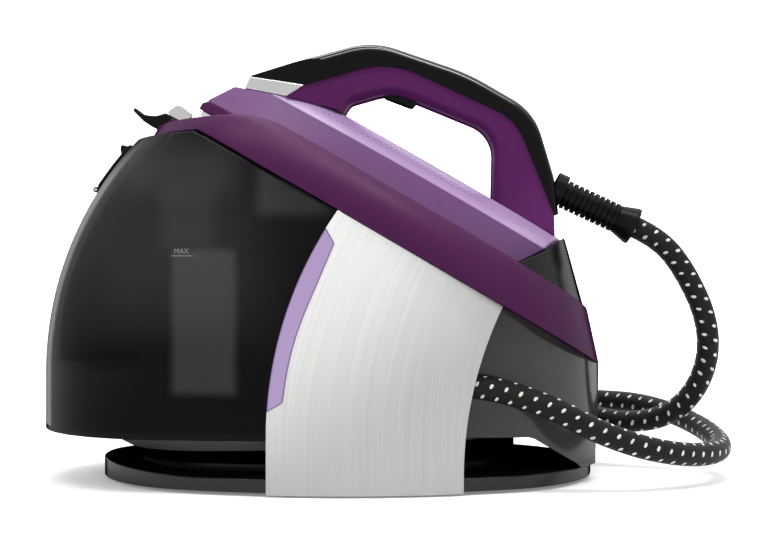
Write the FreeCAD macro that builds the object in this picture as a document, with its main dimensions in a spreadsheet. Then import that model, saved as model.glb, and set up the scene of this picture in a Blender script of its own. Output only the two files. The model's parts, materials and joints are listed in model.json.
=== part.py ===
import FreeCAD, Part
import math
import os
import re
import Sketcher

# Steam generator iron: a base station with a removable water tank and a boiler, and the
# iron that rests on its sloping top. Millimetres, +Z up, the heel and the hose towards +X,
# the tank towards -X. The origin lies on the floor under the middle of the station.

SIZES = {
    # the sloping rest: its plane passes over the origin at rest_height
    "rest_slope": 30,
    "rest_height": 208,
    # base tray and its feet
    "foot_height": 2,
    "foot_radius": 9,
    "foot_spread_long": 118,
    "foot_spread_wide": 62,
    "base_centre": 18,
    "base_half_length": 175,
    "base_half_width": 116,
    "base_end_radius": 103,
    "base_plate_top": 11,
    "base_lip_top": 15.5,
    "neck_centre": 3.5,
    "neck_half_length": 134.5,
    "neck_half_width": 78,
    "neck_end_radius": 70,
    "neck_wall": 4,
    # belly pan that carries the housing and the tank
    "pan_centre": -10,
    "pan_half_length": 150,
    "pan_half_width": 106,
    "pan_end_radius": 98,
    "pan_flare": 14,
    "belly_rise": 2.1,
    "pan_low": 23.5,
    "pan_top": 35,
    # boiler housing
    "housing_front": 106,
    "housing_tail": 199,
    "housing_half_width": 87,
    "housing_end_radius": 86,
    "housing_wall": 3,
    "housing_floor": 3,
    "tail_block_start": 157,
    # hose bay beside and in front of the housing
    "hose_radius": 8,
    "hose_sides": 12,
    "hose_gap": 1,
    "hose_side_gap": 1.3,
    "hose_bay": 19,
    "guide_top": 63,
    "guide_thick": 3,
    "guide_length": 70,
    # side panels
    "panel_thick": 2.5,
    "panel_foot": 1,
    "panel_left": 32.5,
    "panel_left_corner": 117,
    "panel_left_top": 14.2,
    "panel_right": 96,
    "panel_right_corner": 69,
    "panel_right_top": 122.2,
    "strip_thick": 0.7,
    "strip_width": 11,
    "strip_low": 55,
    "strip_high": 174,
    # water tank
    "tank_nose": 199,
    "tank_side_step": 5,
    "tank_end_step": 7,
    "tank_wall": 2.5,
    "tank_curve_start": 75,
    "tank_curve_radius": 240,
    "tank_top": 239.5,
    "tank_seat_gap": 0.5,
    "tank_gap": 1.5,
    "tank_top_gap": 2,
    "tank_skirt_lap": 9,
    "filler_low": 209,
    "filler_high": 231,
    "filler_half_width": 18,
    "lid_low": 205,
    "lid_high": 236,
    "lid_half_width": 26,
    "lid_gap": 0.3,
    "lid_thick": 2.6,
    # purple rest shell, in the frame of the sloping rest
    "rest_front": -122.8,
    "rest_tail": 236.5,
    "rest_tail_lean": 0.9,
    "rest_half_width": 120,
    "rest_end_radius": 110,
    "rest_low": -12,
    "rest_rim": 18.5,
    "rest_rim_inset": 17,
    "nose_break": -56,
    "nose_slope": 31.8,
    "nose_rounding": 75,
    # rest tray inside the shell
    "tray_front": -62,
    "tray_tail": 206.5,
    "tray_half_width": 95,
    "tray_end_radius": 86,
    "tray_top": 11,
    "tray_gap": 0.2,
    "tray_wall": 6,
    "tray_floor": 3,
    "well_floor": -3,
    "well_gap": 3,
    "stop_high": 55,
    "stop_lean": 0.9,
    # iron, in the same sloping frame
    "sole_tip": -104,
    "sole_wide_at": 86,
    "sole_half_width": 56,
    "sole_tail": 154,
    "sole_thick": 4,
    "skirt_lap": 4,
    "skirt_low": 3,
    "skirt_high": 12,
    "crease_high": 38,
    "crease_inset": 10,
    "spine_high": 52,
    "spine_half_width": 17,
    "grip_half_width": 16,
    "cap_half_width": 17.5,
    "collar_half_width": 19,
    # small parts
    "pin_radius": 1.5,
    "lid_pin_radius": 1,
    "hinge_radius": 2,
    "hinge_half": 12,
    "hinge_ear": 4,
    "spout_high": 46,
    "spout_radius": 7,
    "lever_pivot_x": -114,
    "lever_pivot_z": -16,
    "lever_half_width": 12,
    "heel_bow": 14,
    "crease_bow": 10,
    "spine_bow": 4,
    "heel_flare": 14,
    "brow_start": -20,
    "brow_slope": 16.3,
    "relief_x": 145,
    "relief_z": 82,
    "relief_lift": 5,
    "relief_radius": 10.5,
    "relief_collar": 8,
    "relief_pitch": 4.2,
    "relief_ribs": 10,
    "relief_flare": 14,
    "relief_length": 65,
    "gland_mouth": 12,
    "gland_high": 46,
    "boiler_x": 0,
    "boiler_low": 52,
    "boiler_radius": 58,
    "boiler_high": 88,
    "boiler_wall": 2,
    "boiler_shoulder": 16,
    "steam_port": 3,
    "element_radius": 46,
    "element_width": 8,
    "element_high": 6,
    "pump_x": 90,
    "pump_radius": 16,
    "pump_high": 45,
    "valve_radius": 9,
    "valve_high": 26,
    "water_pipe_radius": 3,
    "steam_pipe_radius": 4,
    "board_x": 128,
    "board_thick": 1.6,
    "board_half_width": 36,
    "board_high": 52,
    "drain_depth": 13,
    "drain_high": 58,
    "drain_radius": 15,
    "drain_stem": 6,
    "drain_bar": 3,
    "fascia_x": 34,
    "fascia_y": 75,
    "fascia_half_length": 26,
    "fascia_half_width": 12,
    "fascia_thick": 1.2,
    "lens_radius": 1.5,
    "lens_offset": 7,
    "button_radius": 6.5,
    "button_spread": 13,
    "button_rise": 1.6,
    "button_depth": 6,
    "bush_x": 58,
    "bush_radius": 5,
    "screw_radius": 3.5,
    "screw_depth": 2.5,
    "screw_spread": 92,
    "steam_hole_radius": 1.6,
    "steam_hole_step": 22,
    "steam_hole_start": 45,
    "steam_hole_half_gap": 9,
    "steam_hole_spread": 4.6,
    "steam_hole_pairs": 7,
    "steam_hole_depth": 2,
    "pad_half_length": 5,
    "pad_half_width": 34,
    "chamber_inset": 6,
    "chamber_high": 16,
    "shell_rake": 6,
    "shell_wall": 3,
    "grip_front": -47,
    "grip_rear": 154,
    "grip_crown": 110,
    "cap_front": -86,
    "cap_crown": 122.3,
    "gap_front": -12,
    "gap_rear": 110.5,
    "gap_high": 94,
    "grip_rounding": 8,
    "cap_rounding": 7,
    "prow_start": -90,
    "prow_full": -44,
    "trigger_pivot_x": 6,
    "trigger_pivot_z": 86,
    "trigger_half_width": 8,
    "pin_gap": 0.15,
    "part_gap": 0.3,
}


doc = FreeCAD.newDocument("SteamGeneratorIron")
sheet = doc.addObject("Spreadsheet::Sheet", "sizes")
for row, (alias, number) in enumerate(SIZES.items(), start=1):
    sheet.set(f"A{row}", alias)
    sheet.set(f"B{row}", str(number))
    sheet.setAlias(f"B{row}", alias)
doc.recompute()

SUB_PARTS = []


def tied(text):
    """Turns the names of sizes in a formula into references to the sheet."""
    return re.sub(r"[a-z][a-z_]+", reference, str(text))


def reference(word):
    name = word.group()
    return "sizes." + name if name in SIZES else name


def value(text):
    """The number that a formula of sizes gives."""
    result = sheet.evalExpression(tied(text))
    return float(getattr(result, "Value", result))


# ---------------------------------------------------------------- building helpers

def new_body(label, on_rest=False):
    """A sub-part. One on the rest is drawn in the frame of the sloping rest plane."""
    body = doc.addObject("PartDesign::Body", label)
    body.Label = label
    if on_rest:
        place_on_rest(body)
    SUB_PARTS.append(body)
    return body


def place_on_rest(thing):
    slope = FreeCAD.Rotation(FreeCAD.Vector(0, 1, 0), value("rest_slope"))
    thing.Placement = FreeCAD.Placement(FreeCAD.Vector(0, 0, value("rest_height")), slope)
    thing.setExpression("Placement.Base.z", tied("rest_height"))
    thing.setExpression("Placement.Rotation.Angle", tied("rest_slope"))


def new_sketch(body, plane, offset="0"):
    """A sketch on an origin plane of the body: XY seen from above, XZ from the near side."""
    planes = {feature.Role: feature for feature in body.Origin.OriginFeatures}
    sketch = body.newObject("Sketcher::SketchObject", body.Label + "_sketch")
    sketch.AttachmentSupport = [(planes[plane + "_Plane"], "")]
    sketch.MapMode = "FlatFace"
    sketch.setExpression("AttachmentOffset.Base.z", tied(offset))
    return sketch


def bind(sketch, constraint, formula):
    index = sketch.addConstraint(constraint)
    sketch.setExpression(f"Constraints[{index}]", tied(formula))


def polygon(sketch, corners):
    """A closed outline. Each corner is (x, y) or (x, y, radius of its rounding)."""
    first = sketch.GeometryCount
    count = len(corners)
    spots = [FreeCAD.Vector(value(c[0]), value(c[1]), 0) for c in corners]
    for i in range(count):
        sketch.addGeometry(Part.LineSegment(spots[i], spots[(i + 1) % count]), False)
    for i in range(count):
        sketch.addConstraint(Sketcher.Constraint("Coincident", first + i, 2, first + (i + 1) % count, 1))
    for i, corner in enumerate(corners):
        across = Sketcher.Constraint("DistanceX", -1, 1, first + i, 1, spots[i].x)
        up = Sketcher.Constraint("DistanceY", -1, 1, first + i, 1, spots[i].y)
        bind(sketch, across, corner[0])
        bind(sketch, up, corner[1])
    for i, corner in enumerate(corners):
        if len(corner) == 3:
            arc = sketch.GeometryCount
            radius = value(corner[2])
            sketch.fillet(first + i, 1, radius, True, True)
            bind(sketch, Sketcher.Constraint("Radius", arc, radius), corner[2])


def circle(sketch, x, y, radius):
    centre = FreeCAD.Vector(value(x), value(y), 0)
    index = sketch.addGeometry(Part.Circle(centre, FreeCAD.Vector(0, 0, 1), value(radius)), False)
    bind(sketch, Sketcher.Constraint("Radius", index, value(radius)), radius)
    bind(sketch, Sketcher.Constraint("DistanceX", -1, 1, index, 3, centre.x), x)
    bind(sketch, Sketcher.Constraint("DistanceY", -1, 1, index, 3, centre.y), y)


def oval(sketch, centre, half_length, half_width, end_radius):
    """Four tangent arcs: two ends of end_radius and two long flat sides."""
    x, length, width, end = value(centre), value(half_length), value(half_width), value(end_radius)
    side = ((length - end) ** 2 + width ** 2 - end ** 2) / (2 * (width - end))
    reach = length - end
    lean = math.atan2(reach, side - width)
    up = FreeCAD.Vector(0, 0, 1)
    first = sketch.GeometryCount
    front = Part.Circle(FreeCAD.Vector(x - reach, 0, 0), up, end)
    rear = Part.Circle(FreeCAD.Vector(x + reach, 0, 0), up, end)
    near = Part.Circle(FreeCAD.Vector(x, side - width, 0), up, side)
    far = Part.Circle(FreeCAD.Vector(x, width - side, 0), up, side)
    quarter = math.pi / 2
    sketch.addGeometry(Part.ArcOfCircle(front, quarter + lean, 3 * quarter - lean), False)
    sketch.addGeometry(Part.ArcOfCircle(near, 3 * quarter - lean, 3 * quarter + lean), False)
    sketch.addGeometry(Part.ArcOfCircle(rear, 3 * quarter + lean, 5 * quarter - lean), False)
    sketch.addGeometry(Part.ArcOfCircle(far, quarter - lean, quarter + lean), False)
    for i in range(4):
        sketch.addConstraint(Sketcher.Constraint("Tangent", first + i, 2, first + (i + 1) % 4, 1))
    ends = [(first, f"({centre}) - ({half_length}) + ({end_radius})"),
            (first + 2, f"({centre}) + ({half_length}) - ({end_radius})")]
    for arc, spot in ends:
        bind(sketch, Sketcher.Constraint("Radius", arc, end), end_radius)
        bind(sketch, Sketcher.Constraint("DistanceX", -1, 1, arc, 3, value(spot)), spot)
        sketch.addConstraint(Sketcher.Constraint("PointOnObject", arc, 3, -1))
    reach_text = f"(({half_length}) - ({end_radius}))"
    side_text = (f"({reach_text} * {reach_text} + ({half_width}) * ({half_width})"
                 f" - ({end_radius}) * ({end_radius})) / (2 * (({half_width}) - ({end_radius})))")
    for arc in (first + 1, first + 3):
        bind(sketch, Sketcher.Constraint("Radius", arc, side), side_text)


def finish(feature, change=None):
    """Recomputes the feature's body and checks that the feature did its work."""
    body = feature.getParentGeoFeatureGroup()
    before = getattr(body, "known_volume", 0.0)
    body.Tip = feature
    doc.recompute()
    if "Invalid" in feature.State or "Error" in feature.State:
        raise RuntimeError(f"{body.Label}: {feature.Name} failed")
    now = feature.Shape.Volume
    if change == "adds" and now <= before + 1e-3:
        raise RuntimeError(f"{body.Label}: {feature.Name} adds nothing")
    if change == "cuts" and now >= before - 1e-3:
        raise RuntimeError(f"{body.Label}: {feature.Name} cuts nothing")
    if not hasattr(body, "known_volume"):
        body.addProperty("App::PropertyFloat", "known_volume")
    body.known_volume = now
    return feature


def pad(body, sketch, length, both=False, down=False):
    feature = body.newObject("PartDesign::Pad", body.Label + "_pad")
    feature.Profile = sketch
    feature.Midplane = both
    feature.Reversed = down
    feature.setExpression("Length", tied(length))
    return finish(feature, "adds")


def pocket(body, sketch, length="900", both=False, up=False):
    """Cuts down from the sketch, or up, or to both sides."""
    feature = body.newObject("PartDesign::Pocket", body.Label + "_pocket")
    feature.Profile = sketch
    feature.Midplane = both
    feature.Reversed = up
    feature.setExpression("Length", tied(length))
    return finish(feature, "cuts")


def revolve(body, sketch, axis, cut=False):
    kind = "Groove" if cut else "Revolution"
    feature = body.newObject("PartDesign::" + kind, body.Label + "_turn")
    feature.Profile = sketch
    feature.ReferenceAxis = (sketch, [axis])
    feature.Angle = 360
    return finish(feature, "cuts" if cut else "adds")


def loft(body, sketches, cut=False, ruled=False):
    kind = "SubtractiveLoft" if cut else "AdditiveLoft"
    feature = body.newObject("PartDesign::" + kind, body.Label + "_loft")
    feature.Profile = sketches[0]
    feature.Sections = sketches[1:]
    feature.Ruled = ruled
    return finish(feature, "cuts" if cut else "adds")


def pipe(body, profile, spine, cut=False):
    """Carries the profile along the spine without turning it."""
    kind = "SubtractivePipe" if cut else "AdditivePipe"
    feature = body.newObject("PartDesign::" + kind, body.Label + "_pipe")
    feature.Profile = profile
    feature.Spine = spine
    feature.Mode = "Fixed"
    feature.Transition = "Right corner"
    return finish(feature, "cuts" if cut else "adds")


def round_edges(body, radius, wanted):
    """Rounds the edges of the body that the test accepts."""
    base = body.Tip
    names = [f"Edge{i}" for i, edge in enumerate(base.Shape.Edges, start=1) if wanted(edge)]
    feature = body.newObject("PartDesign::Fillet", body.Label + "_rounding")
    feature.Base = (base, names)
    feature.setExpression("Radius", tied(radius))
    return finish(feature)


def deck(low):
    """Height over the origin of the plane that lies low over the rest plane."""
    return f"(rest_height + ({low}) / cos(rest_slope))"


def over_deck(low, x):
    return f"({deck(low)} - ({x}) * tan(rest_slope))"


def clear_above_deck(body, low, left="-300", right="300", both_width="600"):
    """Cuts away what stands over the plane that lies low over the rest plane."""
    sketch = new_sketch(body, "XZ")
    polygon(sketch, [(left, over_deck(low, left)), (right, over_deck(low, right)),
                     (right, "600"), (left, "600")])
    return pocket(body, sketch, both_width, both=True)


# ---------------------------------------------------------------- base

BUSH_PLANE = "-(neck_half_width - 2 * neck_wall)"
BUSH_HIGH = "((base_plate_top + pan_low) / 2 + 2)"


def make_base_tray():
    body = new_body("base_tray")
    sketch = new_sketch(body, "XY", "foot_height")
    oval(sketch, "base_centre", "base_half_length", "base_half_width", "base_end_radius")
    pad(body, sketch, "base_lip_top - foot_height")
    lip = new_sketch(body, "XZ")
    start, end = "base_centre - base_half_length", "base_centre + base_half_length + 9"
    polygon(lip, [(f"{start} - 20", "base_lip_top + 2"), (f"{start} + 8", "base_lip_top - 0.5"),
                  (f"{start} + 70", "base_plate_top"), (end, "base_plate_top"), (end, "base_lip_top + 9"),
                  (f"{start} - 20", "base_lip_top + 9")])
    pocket(body, lip, "600", both=True)
    neck = new_sketch(body, "XY", "base_plate_top - 3")
    oval(neck, "neck_centre", "neck_half_length", "neck_half_width", "neck_end_radius")
    pad(body, neck, "pan_top - base_plate_top + 3")
    slope = new_sketch(body, "XZ")
    polygon(slope, pan_under_side("60"))
    pocket(body, slope, "600", both=True)
    hollow = new_sketch(body, "XY", "base_plate_top")
    oval(hollow, "neck_centre", "neck_half_length - neck_wall", "neck_half_width - neck_wall",
         "neck_end_radius - neck_wall")
    pocket(body, hollow, up=True)
    wells = new_sketch(body, "XY", "foot_height")
    four_circles(wells, "screw_spread", "screw_spread / 2", "screw_radius")
    pocket(body, wells, "screw_depth", up=True)
    gland = new_sketch(body, "XZ", BUSH_PLANE)
    circle(gland, "bush_x", BUSH_HIGH, "bush_radius")
    pocket(body, gland, "40")
    return body


def four_circles(sketch, along, across, radius):
    for x in (-1, 1):
        for y in (-1, 1):
            circle(sketch, f"base_centre + {x} * {along}", f"{y} * {across}", radius)


def pan_under_side(top):
    """The region over the sloping under side of the belly pan."""
    start = "base_centre - base_half_length"
    rise = "tan(belly_rise)"
    return [(f"{start} - 50", f"pan_low - 50 * {rise}"),
            ("base_half_length + 50", f"pan_low + (base_half_length + 50 - ({start})) * {rise}"),
            ("base_half_length + 50", top), (f"{start} - 50", top)]


def make_feet():
    body = new_body("foot_pads")
    sketch = new_sketch(body, "XY")
    four_circles(sketch, "foot_spread_long", "foot_spread_wide", "foot_radius")
    pad(body, sketch, "foot_height")
    return body


def make_belly_pan():
    body = new_body("belly_pan")
    low = new_sketch(body, "XY", "pan_low - 3")
    oval(low, "pan_centre + pan_flare", "pan_half_length - pan_flare", "pan_half_width - pan_flare",
         "pan_end_radius - pan_flare")
    high = new_sketch(body, "XY", "pan_top")
    oval(high, "pan_centre", "pan_half_length", "pan_half_width", "pan_end_radius")
    loft(body, [low, high], ruled=True)
    under = new_sketch(body, "XZ")
    polygon(under, pan_under_side("0"))
    pocket(body, under, "600", both=True)
    return body


# ---------------------------------------------------------------- boiler housing

HOUSING_CENTRE = "(housing_tail - housing_front) / 2"
HOUSING_HALF = "(housing_tail + housing_front) / 2"
DRAIN_BACK = "(housing_tail - drain_depth)"


def housing_oval(sketch, grow):
    oval(sketch, HOUSING_CENTRE, f"{HOUSING_HALF} + ({grow})", f"housing_half_width + ({grow})",
         f"housing_end_radius + ({grow})")


def make_housing():
    body = new_body("boiler_housing")
    sketch = new_sketch(body, "XY", "base_plate_top")
    housing_oval(sketch, "0")
    pad(body, sketch, "rest_height + 60 - base_plate_top")
    clear_above_deck(body, "rest_low")
    front = new_sketch(body, "XZ")
    polygon(front, [("-300", "tank_top + tank_gap"), ("300", "tank_top + tank_gap"), ("300", "600"),
                    ("-300", "600")])
    pocket(body, front, "600", both=True)
    under = new_sketch(body, "XZ")
    polygon(under, [("-300", "-10"), ("tail_block_start + 25", "-10"),
                    ("tail_block_start + 25", "base_plate_top", 14), ("tail_block_start - 14", "pan_top", 14),
                    ("-300", "pan_top")])
    pocket(body, under, "600", both=True)
    tail = new_sketch(body, "XZ")
    high = "tank_curve_start + 20"
    polygon(tail, [("housing_tail - 6", "0"), ("housing_tail - 6", "base_plate_top + 6", 60),
                   ("housing_tail + 0.5", high), ("housing_tail + 30", high), ("housing_tail + 30", "0")])
    pocket(body, tail, "600", both=True)
    hollow = new_sketch(body, "XY", "pan_top + housing_floor")
    housing_oval(hollow, "-housing_wall")
    pocket(body, hollow, up=True)
    boss = new_sketch(body, "YZ", f"{DRAIN_BACK} - 3")
    circle(boss, "0", "drain_high", "drain_radius + 3")
    pad(body, boss, "drain_depth - 1")
    recess = new_sketch(body, "YZ", DRAIN_BACK)
    circle(recess, "0", "drain_high", "drain_radius")
    pocket(body, recess, "40", up=True)
    stem = new_sketch(body, "YZ", f"{DRAIN_BACK} - 10")
    circle(stem, "0", "drain_high", "drain_stem + part_gap")
    pocket(body, stem, "30", up=True)
    return body


def make_hose_guide():
    body = new_body("hose_guide")
    sketch = new_sketch(body, "XY", "guide_top - guide_thick")
    housing_oval(sketch, "0")
    housing_oval(sketch, "hose_bay - hose_gap")
    pad(body, sketch, "guide_thick")
    rear = new_sketch(body, "XY")
    polygon(rear, [("guide_length", "-200"), ("400", "-200"), ("400", "200"), ("guide_length", "200")])
    pocket(body, rear, up=True)
    return body


# ---------------------------------------------------------------- side panels

def longest_arc(across, up):
    """Radius of an arc that leaves the vertical and ends at the far end of a leaning leg."""
    return f"0.95 * sqrt(({across}) ^ 2 + ({up}) ^ 2) / tan(atan(({across}) / ({up})) / 2)"


def panel_outline(gap):
    """The panel seen from the side: curved rear and front edges and a sloping top."""
    top = f"rest_low - ({gap})"
    left_top = over_deck(top, "panel_left_top")
    right_top = over_deck(top, "panel_right_top")
    left_arc = longest_arc("panel_left_top + panel_left", f"{left_top} - panel_left_corner")
    right_arc = longest_arc("panel_right_top - panel_right", f"{right_top} - panel_right_corner")
    return [("-panel_left", "panel_foot"), ("panel_right", "panel_foot"),
            ("panel_right", "panel_right_corner", right_arc),
            ("panel_right_top", right_top), ("panel_left_top", left_top),
            ("-panel_left", "panel_left_corner", left_arc)]


def keep_inside(body, corners):
    """Cuts away all that lies outside the outline, seen from the side."""
    sketch = new_sketch(body, "XZ")
    polygon(sketch, [("-400", "-100"), ("400", "-100"), ("400", "500"), ("-400", "500")])
    polygon(sketch, corners)
    return pocket(body, sketch, "600", both=True)


def keep_side(body, side):
    """Keeps the near half (side -1) or the far half (side 1)."""
    sketch = new_sketch(body, "XY", "-50")
    polygon(sketch, [("-400", "0"), ("400", "0"), ("400", f"{-side} * 300"), ("-400", f"{-side} * 300")])
    return pocket(body, sketch, up=True)


def panel_ring(body, inner, outer):
    sketch = new_sketch(body, "XY")
    for grow in (inner, outer):
        oval(sketch, "base_centre", f"base_half_length + ({grow})", f"base_half_width + ({grow})",
             f"base_end_radius + ({grow})")
    pad(body, sketch, "rest_height")


def make_side_panel(name, side):
    body = new_body("side_panel_" + name)
    panel_ring(body, "0", "panel_thick")
    keep_inside(body, panel_outline("part_gap"))
    keep_side(body, side)
    return body


def make_trim_strip(name, side):
    """The coloured strip along the front edge of a side panel."""
    body = new_body("trim_strip_" + name)
    panel_ring(body, "panel_thick", "panel_thick + strip_thick")
    keep_inside(body, panel_outline("part_gap"))
    keep_inside(body, [("-panel_left - 30", "strip_low - 18"),
                       ("strip_width - panel_left", "strip_low + 6", 3),
                       ("strip_width - panel_left + 5", "strip_low + 42", 200),
                       ("panel_left_top - 2", "strip_high - 10", 3),
                       ("panel_left_top - 24", "strip_high + 29"),
                       ("-panel_left - 30", "strip_high + 29")])
    keep_side(body, side)
    return body


# ---------------------------------------------------------------- water tank

TANK_BACK = "(housing_front + hose_bay + tank_gap + tank_wall)"
TANK_HALF_WIDTH = "(base_half_width - tank_side_step)"
TANK_END_RADIUS = f"({TANK_HALF_WIDTH} - tank_end_step)"


def nose_path(body, start):
    """The front of the tank seen from the side: straight up, then leaning back in one arc."""
    sketch = new_sketch(body, "XZ")
    low, bend, radius = value(start), value("tank_curve_start"), value("tank_curve_radius")
    end = value("tank_top + 12")
    lean = math.asin((end - bend) / radius)
    sketch.addGeometry(Part.LineSegment(FreeCAD.Vector(0, low, 0), FreeCAD.Vector(0, bend, 0)), False)
    arc = Part.Circle(FreeCAD.Vector(radius, bend, 0), FreeCAD.Vector(0, 0, 1), radius)
    sketch.addGeometry(Part.ArcOfCircle(arc, math.pi - lean, math.pi), False)
    sketch.addConstraint(Sketcher.Constraint("Tangent", 0, 2, 1, 2))
    sketch.addConstraint(Sketcher.Constraint("Vertical", 0))
    bind(sketch, Sketcher.Constraint("DistanceY", -1, 1, 0, 1, low), start)
    sketch.addConstraint(Sketcher.Constraint("PointOnObject", 0, 1, -2))
    bind(sketch, Sketcher.Constraint("DistanceY", -1, 1, 0, 2, bend), "tank_curve_start")
    bind(sketch, Sketcher.Constraint("Radius", 1, radius), "tank_curve_radius")
    bind(sketch, Sketcher.Constraint("DistanceY", -1, 1, 1, 1, end), "tank_top + 12")
    return sketch


def tank_form(body, inset):
    """The tank's outside, or with an inset the water space inside its walls."""
    floor = f"pan_top + tank_seat_gap + ({inset})"
    plan = new_sketch(body, "XY", floor)
    oval(plan, "0", f"tank_nose - ({inset})", f"{TANK_HALF_WIDTH} - ({inset})",
         f"{TANK_END_RADIUS} - ({inset})")
    pipe(body, plan, nose_path(body, floor))
    roof = new_sketch(body, "XZ")
    low = f"rest_low - tank_top_gap - ({inset})"
    flat = f"tank_top - ({inset})"
    turn = f"({deck(low)} - ({flat})) / tan(rest_slope)"
    polygon(roof, [("-400", flat), (turn, flat), ("400", over_deck(low, "400")), ("400", "600"),
                   ("-400", "600")])
    pocket(body, roof, "600", both=True)
    inner = new_sketch(body, "XY", f"{floor} - 5")
    housing_oval(inner, f"hose_bay + tank_gap + ({inset})")
    pocket(body, inner, up=True)
    return body


def make_water_tank():
    outside = new_body("tank_outside")
    tank_form(outside, "0")
    behind = new_sketch(outside, "XZ")
    top = over_deck("rest_low", "panel_left_top")
    lean = longest_arc("panel_left_top + panel_left", f"{top} - panel_left_corner")
    edge = "tank_skirt_lap - panel_left"
    far_top = f"2 * {top} - panel_left_corner"
    polygon(behind, [(edge, "-50"), (edge, "panel_left_corner", lean),
                     ("tank_skirt_lap + 2 * panel_left_top + panel_left", far_top),
                     ("500", far_top), ("500", "-50")])
    pocket(outside, behind, "600", both=True)
    inside = new_body("tank_inside")
    tank_form(inside, "tank_wall")
    for body in (outside, inside):
        SUB_PARTS.remove(body)
    mouth = new_sketch(inside, "YZ", f"-({TANK_BACK} + 3)")
    polygon(mouth, [("-filler_half_width", "filler_low", 6), ("filler_half_width", "filler_low", 6),
                    ("filler_half_width", "filler_high", 6), ("-filler_half_width", "filler_high", 6)])
    pad(inside, mouth, "tank_nose", down=True)
    spout = new_sketch(inside, "YZ", "-(housing_front + hose_bay)")
    circle(spout, "0", "spout_high", "spout_radius")
    pad(inside, spout, "20", down=True)
    ears = new_sketch(outside, "XZ")
    tip, root = f"{LID_HINGE_X} - hinge_radius", f"{LID_HINGE_X} + 8.5"
    low, high = "lid_low - hinge_radius", "lid_low + hinge_radius"
    polygon(ears, [(tip, low, "hinge_radius - 0.1"), (root, low), (root, high),
                   (tip, high, "hinge_radius - 0.1")])
    pad(outside, ears, "2 * hinge_half + 2 * hinge_ear", both=True)
    middle = new_sketch(outside, "XZ")
    polygon(middle, [(f"{LID_HINGE_X} - 12", f"{low} - part_gap"),
                     (f"{LID_HINGE_X} + hinge_radius + part_gap", f"{low} - part_gap"),
                     (f"{LID_HINGE_X} + hinge_radius + 9 * part_gap", f"{high} + part_gap"),
                     (f"{LID_HINGE_X} - 12", f"{high} + part_gap")])
    pocket(outside, middle, "2 * hinge_half + 2 * part_gap", both=True)
    bore = new_sketch(outside, "XZ")
    circle(bore, LID_HINGE_X, "lid_low", "lid_pin_radius")
    pocket(outside, bore, "2 * hinge_half + 3 * hinge_ear", both=True)
    tank = doc.addObject("Part::Cut", "water_tank")
    tank.Label = "water_tank"
    tank.Base = outside
    tank.Tool = inside
    SUB_PARTS.append(tank)
    return tank


def nose_at(height):
    """How far forward the tank's front reaches at a height."""
    rise = f"(({height}) - tank_curve_start)"
    return f"(tank_nose - tank_curve_radius + sqrt(tank_curve_radius ^ 2 - {rise} ^ 2))"


LID_HINGE_X = f"(-{nose_at('lid_low')} - lid_gap - lid_thick / 2)"


def make_tank_lid():
    """A curved flap over the filler mouth, with a finger tab at its top."""
    body = new_body("tank_lid")
    plan = new_sketch(body, "XY", "pan_top")
    middle = f"{TANK_END_RADIUS} - tank_nose"
    circle(plan, middle, "0", f"{TANK_END_RADIUS} + lid_gap")
    circle(plan, middle, "0", f"{TANK_END_RADIUS} + lid_gap + lid_thick")
    pipe(body, plan, nose_path(body, "pan_top"))
    foot = "lid_low + hinge_radius + part_gap"
    keep_inside(body, [("-tank_nose - 20", foot), ("-tank_nose / 2", foot),
                       ("-tank_nose / 2", "lid_high"), ("-tank_nose - 20", "lid_high")])
    width = new_sketch(body, "XY")
    polygon(width, [("-400", "-300"), ("400", "-300"), ("400", "300"), ("-400", "300")])
    polygon(width, [("-399", "-lid_half_width"), ("-50", "-lid_half_width"),
                    ("-50", "lid_half_width"), ("-399", "lid_half_width")])
    pocket(body, width, up=True)
    tab = new_sketch(body, "XZ")
    edge = f"-{nose_at('lid_high')}"
    root = f"-{nose_at('lid_high - 7')} - lid_gap - 1"
    polygon(tab, [(root, "lid_high - 7"), (f"{edge} - 8.5", "lid_high - 1", 1),
                  (f"{edge} - 7.5", "lid_high + 1.5", 1), (f"{edge} - lid_gap - 1", "lid_high")])
    pad(body, tab, "lid_half_width", both=True)
    tongue = new_sketch(body, "XZ")
    above = f"-{nose_at(foot + ' + 2')} - lid_gap"
    polygon(tongue, [(f"{LID_HINGE_X} - lid_thick / 2", "lid_low"),
                     (f"{LID_HINGE_X} + lid_thick / 2", "lid_low"),
                     (f"{above} - 0.4", f"{foot} + 2"), (f"{above} - lid_thick + 0.8", f"{foot} + 2")])
    pad(body, tongue, "2 * hinge_half", both=True)
    barrel = new_sketch(body, "XZ")
    circle(barrel, LID_HINGE_X, "lid_low", "hinge_radius")
    pad(body, barrel, "2 * hinge_half", both=True)
    bore = new_sketch(body, "XZ")
    circle(bore, LID_HINGE_X, "lid_low", "lid_pin_radius + pin_gap")
    pocket(body, bore, "3 * hinge_half", both=True)
    return body


def make_pin(label, x, z, half_length, on_rest=False, radius="pin_radius"):
    body = new_body(label, on_rest)
    sketch = new_sketch(body, "XZ")
    circle(sketch, x, z, radius)
    pad(body, sketch, f"2 * ({half_length})", both=True)
    return body


# ---------------------------------------------------------------- rest, in its own frame

def rest_section(body, height, inset):
    """One outline of the shell. Its tail leans forward as it rises."""
    front = f"(rest_front + {inset})"
    rear = f"(rest_tail - (({height}) - rest_low) * rest_tail_lean)"
    sketch = new_sketch(body, "XY", height)
    oval(sketch, f"({front} + {rear}) / 2", f"({rear} - {front}) / 2", f"rest_half_width - {inset}",
         f"rest_end_radius - {inset}")
    return sketch


def tray_oval(sketch, grow):
    oval(sketch, "(tray_front + tray_tail) / 2", f"(tray_tail - tray_front) / 2 + ({grow})",
         f"tray_half_width + ({grow})", f"tray_end_radius + ({grow})")


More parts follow.
